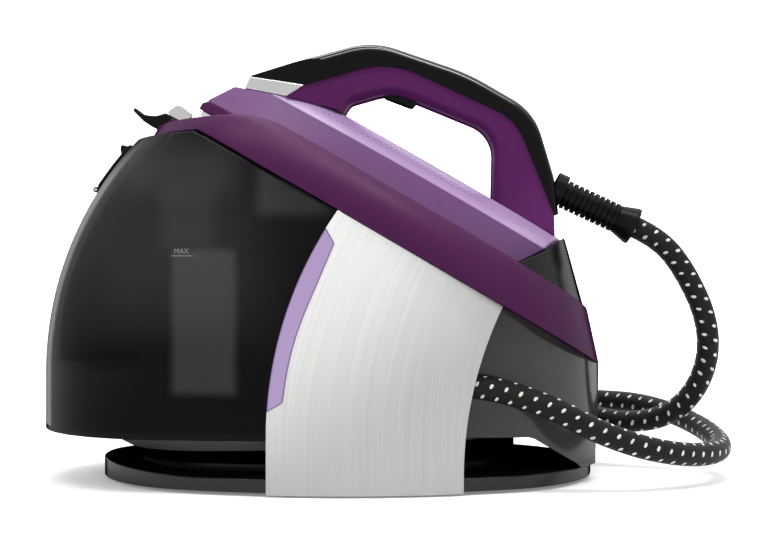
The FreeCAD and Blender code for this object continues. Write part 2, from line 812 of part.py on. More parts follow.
def iron_outline(sketch, grow, tip="0", heel="0", bow="heel_bow"):
    """The pointed arch of the soleplate: two long side arcs and a rounded heel."""
    half_text = f"(sole_half_width + ({grow}))"
    tip_text = f"(sole_tip - ({grow}) - ({tip}))"
    heel_text = f"(sole_tail + ({grow}) + ({heel}))"
    corner_text = f"({heel_text} - ({bow}))"
    radius_text = f"(((sole_wide_at - {tip_text}) ^ 2 + {half_text} ^ 2) / (2 * {half_text}))"
    drop_text = f"({radius_text} - sqrt({radius_text} ^ 2 - ({corner_text} - sole_wide_at) ^ 2))"
    end_text = f"({half_text} - {drop_text})"
    back_text = f"(({end_text} ^ 2 + ({bow}) ^ 2) / (2 * ({bow})))"
    at, half, tip_x = value("sole_wide_at"), value(half_text), value(tip_text)
    corner, radius = value(corner_text), value(radius_text)
    end, back = value(end_text), value(back_text)
    up = FreeCAD.Vector(0, 0, 1)
    quarter = math.pi / 2
    lean_tip = math.atan2(at - tip_x, radius - half)
    lean_heel = math.asin((corner - at) / radius)
    open_angle = math.asin(end / back)
    near = Part.Circle(FreeCAD.Vector(at, radius - half, 0), up, radius)
    rear = Part.Circle(FreeCAD.Vector(value(heel_text) - back, 0, 0), up, back)
    far = Part.Circle(FreeCAD.Vector(at, half - radius, 0), up, radius)
    first = sketch.GeometryCount
    sketch.addGeometry(Part.ArcOfCircle(near, 3 * quarter - lean_tip, 3 * quarter + lean_heel), False)
    sketch.addGeometry(Part.ArcOfCircle(rear, -open_angle, open_angle), False)
    sketch.addGeometry(Part.ArcOfCircle(far, quarter - lean_heel, quarter + lean_tip), False)
    for i in range(3):
        sketch.addConstraint(Sketcher.Constraint("Coincident", first + i, 2, first + (i + 1) % 3, 1))
    sketch.addConstraint(Sketcher.Constraint("PointOnObject", first, 1, -1))
    sketch.addConstraint(Sketcher.Constraint("PointOnObject", first + 1, 3, -1))
    bind(sketch, Sketcher.Constraint("DistanceX", -1, 1, first, 1, tip_x), tip_text)
    bind(sketch, Sketcher.Constraint("DistanceX", -1, 1, first, 3, at), "sole_wide_at")
    bind(sketch, Sketcher.Constraint("DistanceX", -1, 1, first + 2, 3, at), "sole_wide_at")
    bind(sketch, Sketcher.Constraint("Radius", first, radius), radius_text)
    bind(sketch, Sketcher.Constraint("Radius", first + 2, radius), radius_text)
    bind(sketch, Sketcher.Constraint("DistanceX", -1, 1, first, 2, corner), corner_text)
    bind(sketch, Sketcher.Constraint("Radius", first + 1, back), back_text)


def make_rest_shell():
    """The purple shell round the rest, with a rounded shoulder and a dropping nose."""
    body = new_body("rest_shell", on_rest=True)
    skirt = rest_section(body, "rest_low - 24", "0.3")
    waist = rest_section(body, "rest_low + 3", "0.3")
    shoulder = rest_section(body, "rest_low + 0.6 * (rest_rim - rest_low)", "0.35 * rest_rim_inset")
    rim = rest_section(body, "rest_rim", "rest_rim_inset")
    loft(body, [skirt, waist, shoulder, rim])
    under = new_sketch(body, "XZ")
    flat = "tank_top + tank_gap"
    bend = f"((rest_height + rest_low * cos(rest_slope) - ({flat})) / sin(rest_slope))"
    polygon(under, [("300", "rest_low"), (bend, "rest_low"),
                    (f"{bend} - 60 * cos(rest_slope)", "rest_low - 60 * sin(rest_slope)"),
                    (f"{bend} - 60 * cos(rest_slope)", "rest_low - 90"), ("300", "rest_low - 90")])
    pocket(body, under, "600", both=True)
    nose = new_sketch(body, "XZ")
    drop = "(nose_break - rest_front + 20) * tan(nose_slope)"
    polygon(nose, [("rest_front - 20", f"rest_rim - 0.2 - {drop}"),
                   ("nose_break", "rest_rim - 0.2", "nose_rounding"),
                   ("nose_break + 90", "rest_rim + 1"), ("nose_break + 90", "rest_rim + 60"),
                   ("rest_front - 20", "rest_rim + 60")])
    pocket(body, nose, "600", both=True)
    opening = new_sketch(body, "XY", "rest_low - 5")
    tray_oval(opening, "0")
    pocket(body, opening, up=True)
    well = new_sketch(body, "XY", "well_floor")
    iron_outline(well, "well_gap", "skirt_lap + 3")
    pocket(body, well, up=True)
    slot = new_sketch(body, "XY", "rest_low - 40")
    end, half = "lever_pivot_x + 11", "lever_half_width + part_gap"
    polygon(slot, [("rest_front - 20", f"-({half})"), (end, f"-({half})"), (end, half),
                   ("rest_front - 20", half)])
    pocket(body, slot, "60", up=True)
    x, z = "lever_pivot_x", "lever_pivot_z"
    for side in (-1, 1):
        cheek = new_sketch(body, "XZ", f"{-side} * ({half} + 2)")
        polygon(cheek, [(f"{x} - 5", f"{z} - 12"), (f"{x} + 12", f"{z} - 12"), (f"{x} + 4", f"{z} + 3.5", 2),
                        (f"{x} - 4", f"{z} + 3.5", 2)])
        pad(body, cheek, "4", both=True)
    bore = new_sketch(body, "XZ")
    circle(bore, x, z, "pin_radius")
    pocket(body, bore, "2 * lever_half_width + 6", both=True)
    return body


def make_rest_tray():
    """The insert with the well for the iron and the seats of the buttons."""
    body = new_body("rest_tray", on_rest=True)
    plate = new_sketch(body, "XY", "rest_low")
    tray_oval(plate, "-tray_gap")
    pad(body, plate, "tray_top - rest_low")
    well = new_sketch(body, "XY", "well_floor")
    iron_outline(well, "well_gap", "skirt_lap + 3")
    pocket(body, well, up=True)
    seats = new_sketch(body, "XY", "tray_top - 8")
    for side in (-1, 1):
        circle(seats, f"fascia_x + {side} * button_spread", "fascia_y", "button_radius + part_gap")
    pocket(body, seats, up=True)
    underside = new_sketch(body, "XY", "rest_low")
    tray_oval(underside, "-tray_wall")
    pocket(body, underside, "well_floor - tray_floor - rest_low", up=True)
    return body


def make_heel_stop():
    """The dark cowl behind the heel of the iron: straight at the back, hollowed to the heel."""
    body = new_body("heel_stop", on_rest=True)
    foot = new_sketch(body, "XY", "tray_top")
    tray_oval(foot, "-tray_gap")
    pad(body, foot, "rest_rim - tray_top")
    rise = "(stop_high - rest_rim)"
    low = new_sketch(body, "XY", "rest_rim")
    tray_oval(low, "-tray_gap")
    high = new_sketch(body, "XY", "stop_high")
    inset = f"stop_lean * {rise} - tray_gap"
    oval(high, f"(tray_front + tray_tail - {rise}) / 2", f"(tray_tail - tray_front - {rise}) / 2 - tray_gap",
         f"tray_half_width - {inset}", f"tray_end_radius - {inset}")
    loft(body, [low, high], ruled=True)
    side = new_sketch(body, "XZ")
    polygon(side, [("tray_front - 60", "tray_top - 1"), ("sole_tail - 17", "tray_top - 1"),
                   ("sole_tail + 2", "rest_rim + 15", 70), ("sole_tail + 14", "stop_high - 1.5", 3),
                   ("tray_tail + 30", "stop_high - 1.5"), ("tray_tail + 30", "stop_high + 30"),
                   ("tray_front - 60", "stop_high + 30")])
    pocket(body, side, "600", both=True)
    well = new_sketch(body, "XY", "tray_top - 1")
    iron_outline(well, "well_gap", "skirt_lap + 3")
    pocket(body, well, "skirt_high - tray_top + 1", up=True)
    heel_low = new_sketch(body, "XY", "skirt_high")
    iron_outline(heel_low, "well_gap", "skirt_lap + 3")
    heel_high = new_sketch(body, "XY", "crease_high")
    iron_outline(heel_high, "well_gap - crease_inset", "0", "crease_inset + heel_flare - 1", "crease_bow")
    loft(body, [heel_low, heel_high], cut=True, ruled=True)
    above = new_sketch(body, "XY", "crease_high")
    iron_outline(above, "well_gap - crease_inset", "0", "crease_inset + heel_flare - 1", "crease_bow")
    pocket(body, above, up=True)
    return body


# ---------------------------------------------------------------- lock lever

def make_lock_lever():
    """Finger tab, body and bore of the lever that holds the iron's tip."""
    body = new_body("lock_lever", on_rest=True)
    x, z = "lever_pivot_x", "lever_pivot_z"
    side = new_sketch(body, "XZ")
    polygon(side, [(f"{x} - 32", f"{z} - 2.5", 1.2), (f"{x} - 31", f"{z} - 5.5", 1.2),
                   (f"{x} - 20", f"{z} - 8.5", 16), (f"{x} - 6", f"{z} - 8", 4),
                   (f"{x} + 6.5", f"{z} - 4", 4), (f"{x} + 7", f"{z} + 8", 1), (f"{x} + 2", f"{z} + 4.5", 6),
                   (f"{x} - 10", f"{z} + 5", 2), (f"{x} - 15", f"{z} - 0.5", 12), (f"{x} - 23", f"{z} - 4", 8)])
    pad(body, side, "2 * lever_half_width", both=True)
    bore = new_sketch(body, "XZ")
    circle(bore, x, z, "pin_radius + pin_gap")
    pocket(body, bore, "3 * lever_half_width", both=True)
    return body


def make_lock_hook():
    """Bright cap over the head of the lever."""
    body = new_body("lock_hook_cover", on_rest=True)
    x, z = "lever_pivot_x", "lever_pivot_z"
    side = new_sketch(body, "XZ")
    polygon(side, [(f"{x} + 7", f"{z} + 8", 1), (f"{x} + 8.3", f"{z} + 14", 3),
                   (f"{x} - 5.5", f"{z} + 15.4", 5), (f"{x} - 10", f"{z} + 5", 2),
                   (f"{x} + 2", f"{z} + 4.5", 6)])
    pad(body, side, "2 * lever_half_width", both=True)
    return body


# ---------------------------------------------------------------- iron

def make_soleplate():
    body = new_body("soleplate", on_rest=True)
    sketch = new_sketch(body, "XY")
    iron_outline(sketch, "0")
    pad(body, sketch, "sole_thick")
    holes = new_sketch(body, "XY")
    for step in range(int(value("steam_hole_pairs"))):
        along = f"sole_tip + steam_hole_start + {step} * steam_hole_step"
        for side in (-1, 1):
            across = f"{side} * (steam_hole_half_gap + {step} * steam_hole_spread)"
            circle(holes, along, across, "steam_hole_radius")
    pocket(body, holes, "steam_hole_depth", up=True)
    return body


def make_steam_chamber():
    """Cast block over the soleplate, under the shell."""
    body = new_body("steam_chamber", on_rest=True)
    sketch = new_sketch(body, "XY", "sole_thick")
    iron_outline(sketch, "-chamber_inset", "-10")
    pad(body, sketch, "chamber_high - sole_thick")
    return body


def make_iron_skirt():
    """Dark heat skirt between the soleplate and the shell."""
    body = new_body("iron_skirt", on_rest=True)
    low = new_sketch(body, "XY", "sole_thick")
    iron_outline(low, "skirt_lap - 3", "skirt_lap - 2")
    pad(body, low, "skirt_high - sole_thick")
    inner = new_sketch(body, "XY", "sole_thick")
    iron_outline(inner, "part_gap - chamber_inset", "-10")
    pocket(body, inner, up=True)
    nose = new_sketch(body, "XZ")
    polygon(nose, [("sole_tip - 30", "skirt_high + 3"), ("sole_tip - 30", "0"), ("sole_tip - 8", "skirt_low"),
                   ("sole_tip - 6", "skirt_low + 3", 3), ("sole_tip + 1", "skirt_high"),
                   ("sole_tip + 1", "skirt_high + 3")])
    pocket(body, nose, "600", both=True)
    return body


def brow(x):
    """Height of the flat that falls from the spine to the tip of the shell."""
    return f"(spine_high - (brow_start - ({x})) * tan(brow_slope))"


def make_iron_shell():
    """The glossy shell: steep sides up to a crease, a soft roof, and a flat towards the tip."""
    body = new_body("iron_shell", on_rest=True)
    low = new_sketch(body, "XY", "skirt_high")
    iron_outline(low, "1")
    crease = new_sketch(body, "XY", "crease_high")
    iron_outline(crease, "-crease_inset", "-shell_rake", "crease_inset + heel_flare", "crease_bow")
    loft(body, [low, crease], ruled=True)
    roof_low = new_sketch(body, "XY", "crease_high")
    iron_outline(roof_low, "-crease_inset", "-shell_rake", "crease_inset + heel_flare", "crease_bow")
    roof_mid = new_sketch(body, "XY", "crease_high + 0.62 * (spine_high - crease_high)")
    iron_outline(roof_mid, "-crease_inset - 13", "-shell_rake + 2", "crease_inset + 13 + heel_flare",
                 "(crease_bow + spine_bow) / 2")
    roof_top = new_sketch(body, "XY", "spine_high")
    iron_outline(roof_top, "spine_half_width - sole_half_width", "-shell_rake + 6",
                 "sole_half_width - spine_half_width + heel_flare", "spine_bow")
    loft(body, [roof_low, roof_mid, roof_top])
    front = new_sketch(body, "XZ")
    polygon(front, [("prow_start - 10", brow("prow_start - 10")), ("brow_start", "spine_high"),
                    ("brow_start", "spine_high + 20"), ("prow_start - 10", "spine_high + 20")])
    pocket(body, front, "4 * spine_half_width", both=True)
    chamber = new_sketch(body, "XY", "skirt_high - 1")
    iron_outline(chamber, "part_gap - chamber_inset", "-10")
    pocket(body, chamber, "chamber_high + part_gap - skirt_high + 1", up=True)
    room = new_sketch(body, "XY", "skirt_high - 1")
    iron_outline(room, "-crease_inset - shell_wall", "-2 * shell_wall")
    pocket(body, room, "crease_high - skirt_high + 1", up=True)
    return body


def grip_edge():
    """Where the dark cap meets the grip, seen from the side, front to rear."""
    return [("grip_front", "spine_high + 4"), ("grip_front + 44", "grip_crown - 9", 60),
            ("grip_rear - 57.5", "grip_crown", 40), ("grip_rear", "spine_high + 13")]


def finger_gap():
    """The opening for the fingers."""
    return [("gap_front", "spine_high"), ("gap_front", "gap_high - 33", 8),
            ("gap_front + 22", "gap_high - 10.5", 35), ("gap_rear - 23", "gap_high", 24),
            ("gap_rear", "spine_high")]


def taper_front(body, half_width):
    """Narrows the front of a handle piece in plan, so that it stays over the pointed shell."""
    sketch = new_sketch(body, "XY")
    for side in (-1, 1):
        inner, outer = f"{side} * {half_width}", f"{side} * ({half_width} + 20)"
        polygon(sketch, [("prow_start", f"{side} * 2"), ("prow_full", inner), ("prow_full", outer),
                         ("prow_start - 20", outer), ("prow_start - 20", f"{side} * 2")])
    return pocket(body, sketch, up=True)


def make_handle_grip():
    body = new_body("handle_grip", on_rest=True)
    side = new_sketch(body, "XZ")
    front = "grip_front - 7"
    polygon(side, grip_edge() + [("grip_rear + 8", "spine_high")] + finger_gap()[::-1]
            + [("brow_start", "spine_high"), (front, brow(front))])
    pad(body, side, "2 * grip_half_width", both=True)
    round_edges(body, "grip_rounding", finger_edge)
    slot = new_sketch(body, "XZ")
    polygon(slot, trigger_room())
    pocket(body, slot, "2 * trigger_half_width + 2 * part_gap", both=True)
    bore = new_sketch(body, "XZ")
    circle(bore, "trigger_pivot_x", "trigger_pivot_z", "pin_radius")
    pocket(body, bore, "2 * trigger_half_width + 8", both=True)
    return body


def finger_edge(edge):
    """An edge of the finger opening on either face of the grip."""
    middle = edge.CenterOfMass
    on_face = abs(abs(middle.y) - value("grip_half_width")) < 0.01
    inside = value("gap_front") - 1 < middle.x < value("gap_rear") + 1
    return on_face and inside and value("spine_high") + 2 < middle.z < value("gap_high") + 1


def trigger_room():
    x, z = "trigger_pivot_x", "trigger_pivot_z"
    return [(f"{x} - 5", f"{z} - 16"), (f"{x} + 24.5", f"{z} - 16"), (f"{x} + 24.5", f"{z} + 8.5"),
            (f"{x} - 5", f"{z} + 6")]


def make_handle_cap():
    """The dark cover over the top and rear of the handle."""
    body = new_body("handle_cap", on_rest=True)
    side = new_sketch(body, "XZ")
    outer = [("grip_rear + 3", "spine_high + 15"), ("grip_rear - 13", "cap_crown - 34", 40),
             ("grip_rear - 49", "cap_crown", 45), ("grip_front + 97", "cap_crown", 150),
             ("grip_front + 26", "cap_crown - 14", 60), ("cap_front", "crease_high + 5")]
    polygon(side, grip_edge() + outer)
    pad(body, side, "2 * cap_half_width", both=True)
    round_edges(body, "cap_rounding", outer_cap_edge)
    taper_front(body, "cap_half_width")
    return body


def outer_cap_edge(edge):
    """A long edge on the outside of the cap, clear of its seam with the grip."""
    middle = edge.CenterOfMass
    on_face = abs(abs(middle.y) - value("cap_half_width")) < 0.01
    seam = min(edge.distToShape(line)[0] for line in seam_lines())
    return on_face and seam > 2


def seam_lines():
    """The grip's upper edge as straight legs on both faces of the cap."""
    spots = [(value(c[0]), value(c[1])) for c in grip_edge()]
    half = value("cap_half_width")
    lines = []
    for y in (-half, half):
        points = [FreeCAD.Vector(x, y, z) for x, z in spots]
        lines += Part.makePolygon(points).Edges
    return lines


def make_front_collar():
    """Bright saddle where the handle springs from the flat of the shell."""
    body = new_body("front_collar", on_rest=True)
    front, rear = "cap_front + 1", "grip_front - 7"
    side = new_sketch(body, "XZ")
    polygon(side, [(front, brow(front)), ("cap_front", "crease_high + 5"), ("grip_front", "spine_high + 4"),
                   (rear, brow(rear))])
    pad(body, side, "2 * collar_half_width", both=True)
    taper_front(body, "collar_half_width")
    return body


def make_trigger():
    body = new_body("steam_trigger", on_rest=True)
    x, z = "trigger_pivot_x", "trigger_pivot_z"
    side = new_sketch(body, "XZ")
    polygon(side, [(f"{x} - 4", f"{z} + 3.5", 2), (f"{x} - 4", f"{z} - 5", 2), (f"{x} + 1", f"{z} - 8", 3),
                   (f"{x} + 21.5", f"{z} - 4.6", 2), (f"{x} + 23", f"{z} + 2", 2)])
    pad(body, side, "2 * trigger_half_width", both=True)
    bore = new_sketch(body, "XZ")
    circle(bore, x, z, "pin_radius + pin_gap")
    pocket(body, bore, "3 * trigger_half_width", both=True)
    return body


def make_microswitch():
    body = new_body("microswitch", on_rest=True)
    x, z = "trigger_pivot_x", "trigger_pivot_z"
    side = new_sketch(body, "XZ")
    polygon(side, [(f"{x} + 8", f"{z} + 4.4"), (f"{x} + 18", f"{z} + 4.4"), (f"{x} + 18", f"{z} + 7.6"),
                   (f"{x} + 8", f"{z} + 6.9")])
    pad(body, side, "trigger_half_width", both=True)
    return body


def make_strain_relief():
    """Ribbed sleeve that leaves the rear of the handle, with a flared mouth for the hose."""
    body = new_body("hose_strain_relief")
    slope = FreeCAD.Rotation(FreeCAD.Vector(0, 1, 0), value("rest_slope - relief_lift"))
    body.Placement = FreeCAD.Placement(relief_root(), slope)
    sketch = new_sketch(body, "XZ")
    corners = [("0", "0"), ("0", "relief_radius + 2.5"), ("relief_collar", "relief_radius + 2.5"),
               ("relief_collar", "relief_radius - 2")]
    for step in range(int(value("relief_ribs"))):
        front = f"relief_collar + ({step} + 0.4) * relief_pitch"
        rear = f"relief_collar + ({step} + 1) * relief_pitch"
        corners += [(front, "relief_radius - 2"), (front, "relief_radius"), (rear, "relief_radius"),
                    (rear, "relief_radius - 2")]
    corners += [("relief_length - relief_flare", "relief_radius - 2"),
                ("relief_length - relief_flare", "relief_radius - 0.5"),
                ("relief_length - 2", "relief_radius + 3"),
                ("relief_length", "relief_radius + 3"), ("relief_length", "0")]
    polygon(sketch, corners)
    revolve(body, sketch, "H_Axis")
    return body


def relief_root():
    """Where the sleeve leaves the handle, in the frame of the whole object."""
    slope = math.radians(value("rest_slope"))
    x, z = value("relief_x"), value("relief_z")
    return FreeCAD.Vector(x * math.cos(slope) + z * math.sin(slope), 0,
                          value("rest_height") - x * math.sin(slope) + z * math.cos(slope))


# ---------------------------------------------------------------- steam hose

HOSE_LINE = "(housing_half_width + hose_radius + hose_side_gap)"


def hose_route():
    """Points of the hose, from the sleeve on the iron to the gland in the far bay."""
    lean = math.radians(value("rest_slope - relief_lift"))
    forward = FreeCAD.Vector(math.cos(lean), 0, -math.sin(lean))
    mouth = relief_root() + forward * value("relief_length + part_gap")
    bay = value(HOSE_LINE)
    high = value("guide_top + hose_radius + 0.5")
    low = value("gland_high")
    gland = value("gland_mouth")
    middle = [mouth + forward * 21, (263, 0.5, 147), (279, 1, 113), (281, 4, 81), (269, 12, 52),
              (246, 26, 34.5), (208, 48, 33), (162, 91, 51), (108, bay - 0.2, high + 0.7),
              (30, bay + 0.9, high + 1), (-58, bay, high), (-114, 40, high), (-114, -40, high),
              (-58, -bay, high), (28, -bay - 0.9, high + 1), (104, -bay + 0.8, high + 0.5),
              (150, -97.6, 59), (192, -97, 36.5), (240, -80, 22.5),
              (284, -38, 19.5), (286, 28, 29), (252, 78, 43.5), (206, 103.5, 45), (154, 104, 43.5),
              (104, bay + 0.2, low - 1), (gland + 42, bay + 0.5, low + 0.3)]
    return [mouth] + [FreeCAD.Vector(*spot) for spot in middle] + [FreeCAD.Vector(gland, bay, low)]


def rounded_path(points):
    """Straight runs joined by tangent arcs, each as large as its two runs allow."""
    edges = []
    radii = []
    start = points[0]
    for before, corner, after in zip(points, points[1:], points[2:]):
        towards = (corner - before).normalize()
        away = (after - corner).normalize()
        turn = towards.getAngle(away)
        reach = 0.45 * min(before.distanceToPoint(corner), corner.distanceToPoint(after))
        radii.append(reach / math.tan(turn / 2))
        enter = corner - towards * reach
        leave = corner + away * reach
        inward = (away - towards).normalize()
        middle = corner + inward * (radii[-1] / math.cos(turn / 2) - radii[-1])
        edges.append(Part.LineSegment(start, enter).toShape())
        edges.append(Part.Arc(enter, middle, leave).toShape())
        start = leave
    edges.append(Part.LineSegment(start, points[-1]).toShape())
    return Part.Wire(edges), radii


def section_across(path, radius, sides):
    """A face with many straight sides at the start of a path, with the area of a round one."""
    start = path.Edges[0].Vertexes[0].Point
    along = path.Edges[0].tangentAt(path.Edges[0].FirstParameter)
    across = along.cross(FreeCAD.Vector(0, 1, 0)).normalize()
    turn = 2 * math.pi / sides
    reach = across * radius * math.sqrt(turn / math.sin(turn))
    spokes = [FreeCAD.Rotation(along, math.degrees(turn * i)) for i in range(sides)]
    corners = [start + spoke.multVec(reach) for spoke in spokes]
    return Part.Face(Part.makePolygon(corners + corners[:1]))


def make_steam_hose():
    path, radii = rounded_path(hose_route())
    tube = path.makePipe(section_across(path, value("hose_radius"), int(value("hose_sides"))))
    expected = math.pi * value("hose_radius") ** 2 * path.Length
    print(f"hose {path.Length:.0f} mm long, arc radii {[round(r) for r in radii]}")
    if abs(tube.Volume / expected - 1) > 0.01:
        raise RuntimeError("the hose does not fill its path")
    hose = doc.addObject("Part::Feature", "steam_hose")
    hose.Label = "steam_hose"
    hose.Shape = tube
    hose.Placement = FreeCAD.Placement()
    SUB_PARTS.append(hose)
    return hose


def make_hose_gland():
    """Bush against the far wall of the housing, its mouth towards the rear."""
    body = new_body("hose_gland")
    front = new_sketch(body, "YZ", "gland_mouth - 26")
    circle(front, HOSE_LINE, "gland_high", "hose_radius + 1.2")
    pad(body, front, "26")
    foot = new_sketch(body, "YZ", "gland_mouth - 26")
    edge = f"{HOSE_LINE} + 6"
    polygon(foot, [("housing_half_width", "pan_top"), (edge, "pan_top"), (edge, "gland_high - 3"),
                   ("housing_half_width", "gland_high - 3")])
    pad(body, foot, "16")
    return body


def make_mains_gland():
    """Bush in the far wall of the neck, where the mains lead comes in."""
    body = new_body("mains_gland")
    side = new_sketch(body, "XZ", BUSH_PLANE)
    circle(side, "bush_x", BUSH_HIGH, "bush_radius")
    pad(body, side, "11", down=True)
    return body


# ---------------------------------------------------------------- inside the housing

BOILER_TOP = "(boiler_low + boiler_high)"


def make_boiler():
    """Pressed steel shell, open only at the seat of its valve."""
    body = new_body("boiler")
    body.Placement.Base = FreeCAD.Vector(value("boiler_x"), 0, value("boiler_low"))
    sketch = new_sketch(body, "XZ")
    polygon(sketch, [("0", "0"), ("boiler_radius - boiler_shoulder / 2", "0"),
                     ("boiler_radius", "boiler_shoulder / 2"),
                     ("boiler_radius", "boiler_high - boiler_shoulder"),
                     ("boiler_radius - boiler_shoulder", "boiler_high"), ("0", "boiler_high")])
    revolve(body, sketch, "V_Axis")
    room = new_sketch(body, "XZ")
    inner, top = "boiler_radius - boiler_wall", "boiler_high - boiler_wall"
    polygon(room, [("0", "boiler_wall"), (f"{inner} - boiler_shoulder / 2", "boiler_wall"),
                   (inner, "boiler_shoulder / 2"), (inner, "boiler_high - boiler_shoulder"),
                   (f"{inner} - boiler_shoulder", top), ("steam_port", top),
                   ("steam_port", "boiler_high + 1"), ("0", "boiler_high + 1")])
    revolve(body, room, "V_Axis", cut=True)
    return body


def make_heating_element():
    """Flat ring clamped under the boiler."""
    body = new_body("heating_element")
    body.Placement.Base = FreeCAD.Vector(value("boiler_x"), 0, value("boiler_low"))
    sketch = new_sketch(body, "XY", "-element_high")
    circle(sketch, "0", "0", "element_radius")
    circle(sketch, "0", "0", "element_radius - element_width")
    pad(body, sketch, "element_high")
    return body


def make_upright(label, x, y, low, high, radius):
    """A plain upright cylinder with a chamfered top."""
    body = new_body(label)
    body.Placement.Base = FreeCAD.Vector(value(x), value(y), value(low))
    sketch = new_sketch(body, "XZ")
    top = f"({high}) - ({low})"
    polygon(sketch, [("0", "0"), (radius, "0"), (radius, f"{top} - 2"), (f"{radius} - 2", top), ("0", top)])
    revolve(body, sketch, "V_Axis")
    return body


def make_pipe_run(label, corners, radius):
    """A bent metal or rubber pipe through the corners."""
    points = [FreeCAD.Vector(value(c[0]), value(c[1]), value(c[2])) for c in corners]
    path, _ = rounded_path(points)
    along = path.Edges[0].tangentAt(path.Edges[0].FirstParameter)
    ring = Part.Wire(Part.Circle(points[0], along, value(radius)).toShape())
    pipe_run = doc.addObject("Part::Feature", label)
    pipe_run.Label = label
    pipe_run.Shape = path.makePipe(Part.Face(ring))
    pipe_run.Placement = FreeCAD.Placement()
    SUB_PARTS.append(pipe_run)
    return pipe_run


def make_control_board():
    body = new_body("control_board")
    sketch = new_sketch(body, "XY", "pan_top + housing_floor")
    face, back = "board_x", "board_x + board_thick"
    polygon(sketch, [(face, "-board_half_width"), (back, "-board_half_width"), (back, "board_half_width"),
                     (face, "board_half_width")])
    pad(body, sketch, "board_high")
    return body


def make_water_inlet():
    """Socket on the front of the housing that takes the spout of the tank."""
    body = new_body("water_inlet")
    front = new_sketch(body, "YZ", "-housing_front")
    circle(front, "0", "spout_high", "spout_radius + 2")
    pad(body, front, "hose_bay - 8", down=True)
    bore = new_sketch(body, "YZ", "-housing_front - 2")
    circle(bore, "0", "spout_high", "spout_radius - 2")
    pocket(body, bore, "40")
    return body


def make_tank_valve():
    """Spout with a flange, held in the rear wall of the tank."""
    body = new_body("tank_valve")
    flange = new_sketch(body, "YZ", f"-{TANK_BACK}")
    circle(flange, "0", "spout_high", "spout_radius + 2")
    pad(body, flange, "2", down=True)
    stem = new_sketch(body, "YZ", f"-{TANK_BACK}")
    circle(stem, "0", "spout_high", "spout_radius")
    pad(body, stem, "tank_wall")
    tip = new_sketch(body, "YZ", f"-{TANK_BACK}")
    circle(tip, "0", "spout_high", "spout_radius - 2 - part_gap")
    pad(body, tip, "tank_wall + tank_gap + 12")
    return body


def make_drain_cap():
    """Quarter-turn cap in the recess of the tail, with a grip bar."""
    body = new_body("drain_cap")
    face = new_sketch(body, "YZ", f"{DRAIN_BACK} + part_gap")
    circle(face, "0", "drain_high", "drain_radius - part_gap")
    pad(body, face, "4")
    bar = new_sketch(body, "YZ", f"{DRAIN_BACK} + part_gap")
    low, high = "drain_high - drain_bar", "drain_high + drain_bar"
    polygon(bar, [("-drain_radius + 4", low, 2), ("drain_radius - 4", low, 2),
                  ("drain_radius - 4", high, 2), ("-drain_radius + 4", high, 2)])
    pad(body, bar, "8.5")
    stem = new_sketch(body, "YZ", f"{DRAIN_BACK} - 6")
    circle(stem, "0", "drain_high", "drain_stem")
    pad(body, stem, "7")
    return body


# ---------------------------------------------------------------- controls on the tray

def make_control_fascia():
    body = new_body("control_fascia", on_rest=True)
    sketch = new_sketch(body, "XY", "tray_top")
    front, rear = "fascia_x - fascia_half_length", "fascia_x + fascia_half_length"
    near, far = "fascia_y - fascia_half_width", "fascia_y + fascia_half_width"
    polygon(sketch, [(front, near, 6), (rear, near, 6), (rear, far, 6), (front, far, 6)])
    for side in (-1, 1):
        circle(sketch, f"fascia_x + {side} * button_spread", "fascia_y", "button_radius + part_gap")
    circle(sketch, "fascia_x", "fascia_y + lens_offset", "lens_radius")
    pad(body, sketch, "fascia_thick")
    return body


def make_button(label, side):
    body = new_body(label, on_rest=True)
    sketch = new_sketch(body, "XY", "tray_top + fascia_thick + button_rise - button_depth")
    circle(sketch, f"fascia_x + {side} * button_spread", "fascia_y", "button_radius")
    pad(body, sketch, "button_depth")
    return body


def make_indicator_lens():
    body = new_body("indicator_lens", on_rest=True)
    sketch = new_sketch(body, "XY", "tray_top")
    circle(sketch, "fascia_x", "fascia_y + lens_offset", "lens_radius")
    pad(body, sketch, "fascia_thick + 0.4")
    return body


def make_rest_pads():
    """Rubber strips under the soleplate."""
    body = new_body("rest_pads", on_rest=True)
    sketch = new_sketch(body, "XY", "well_floor")
    spots = [("sole_tip + 70", "pad_half_width / 3"), ("sole_wide_at - 20", "pad_half_width"),
             ("sole_tail - 26", "pad_half_width")]
    for x, half in spots:
        front, rear = f"{x} - pad_half_length", f"{x} + pad_half_length"
        polygon(sketch, [(front, f"-{half}"), (rear, f"-{half}"), (rear, half), (front, half)])
    pad(body, sketch, "-well_floor - part_gap")
    return body


def make_base_screws():
    body = new_body("base_screws")
    sketch = new_sketch(body, "XY", "foot_height")
    four_circles(sketch, "screw_spread", "screw_spread / 2", "screw_radius")
    pad(body, sketch, "screw_depth")
    return body


make_base_tray()
make_feet()
make_base_screws()
make_belly_pan()
make_housing()
make_hose_guide()
for name, side in (("near", -1), ("far", 1)):
    make_side_panel(name, side)
    make_trim_strip(name, side)
make_boiler()
make_heating_element()
make_upright("water_pump", "pump_x", "34", "pan_top + housing_floor", "pan_top + pump_high", "pump_radius")
make_upright("steam_valve", "boiler_x", "0", BOILER_TOP, f"{BOILER_TOP} + valve_high", "valve_radius")
water_run = [("pump_x", "34 - pump_radius", "pan_top + 24"), ("pump_x - 14", "6", "pan_top + 26"),
             ("boiler_x + boiler_radius", "0", "pan_top + 27")]
make_pipe_run("water_pipe", water_run, "water_pipe_radius")
steam_run = [("boiler_x", "valve_radius", f"{BOILER_TOP} + 16"), ("boiler_x", "36", f"{BOILER_TOP} + 14"),
             ("boiler_x", "62", f"{BOILER_TOP} - 4"),
             ("boiler_x - 6", "housing_half_width - housing_wall", f"{BOILER_TOP} - 34")]
make_pipe_run("steam_pipe", steam_run, "steam_pipe_radius")
make_control_board()
make_water_inlet()
make_drain_cap()
make_hose_gland()
make_mains_gland()
make_water_tank()
make_tank_valve()
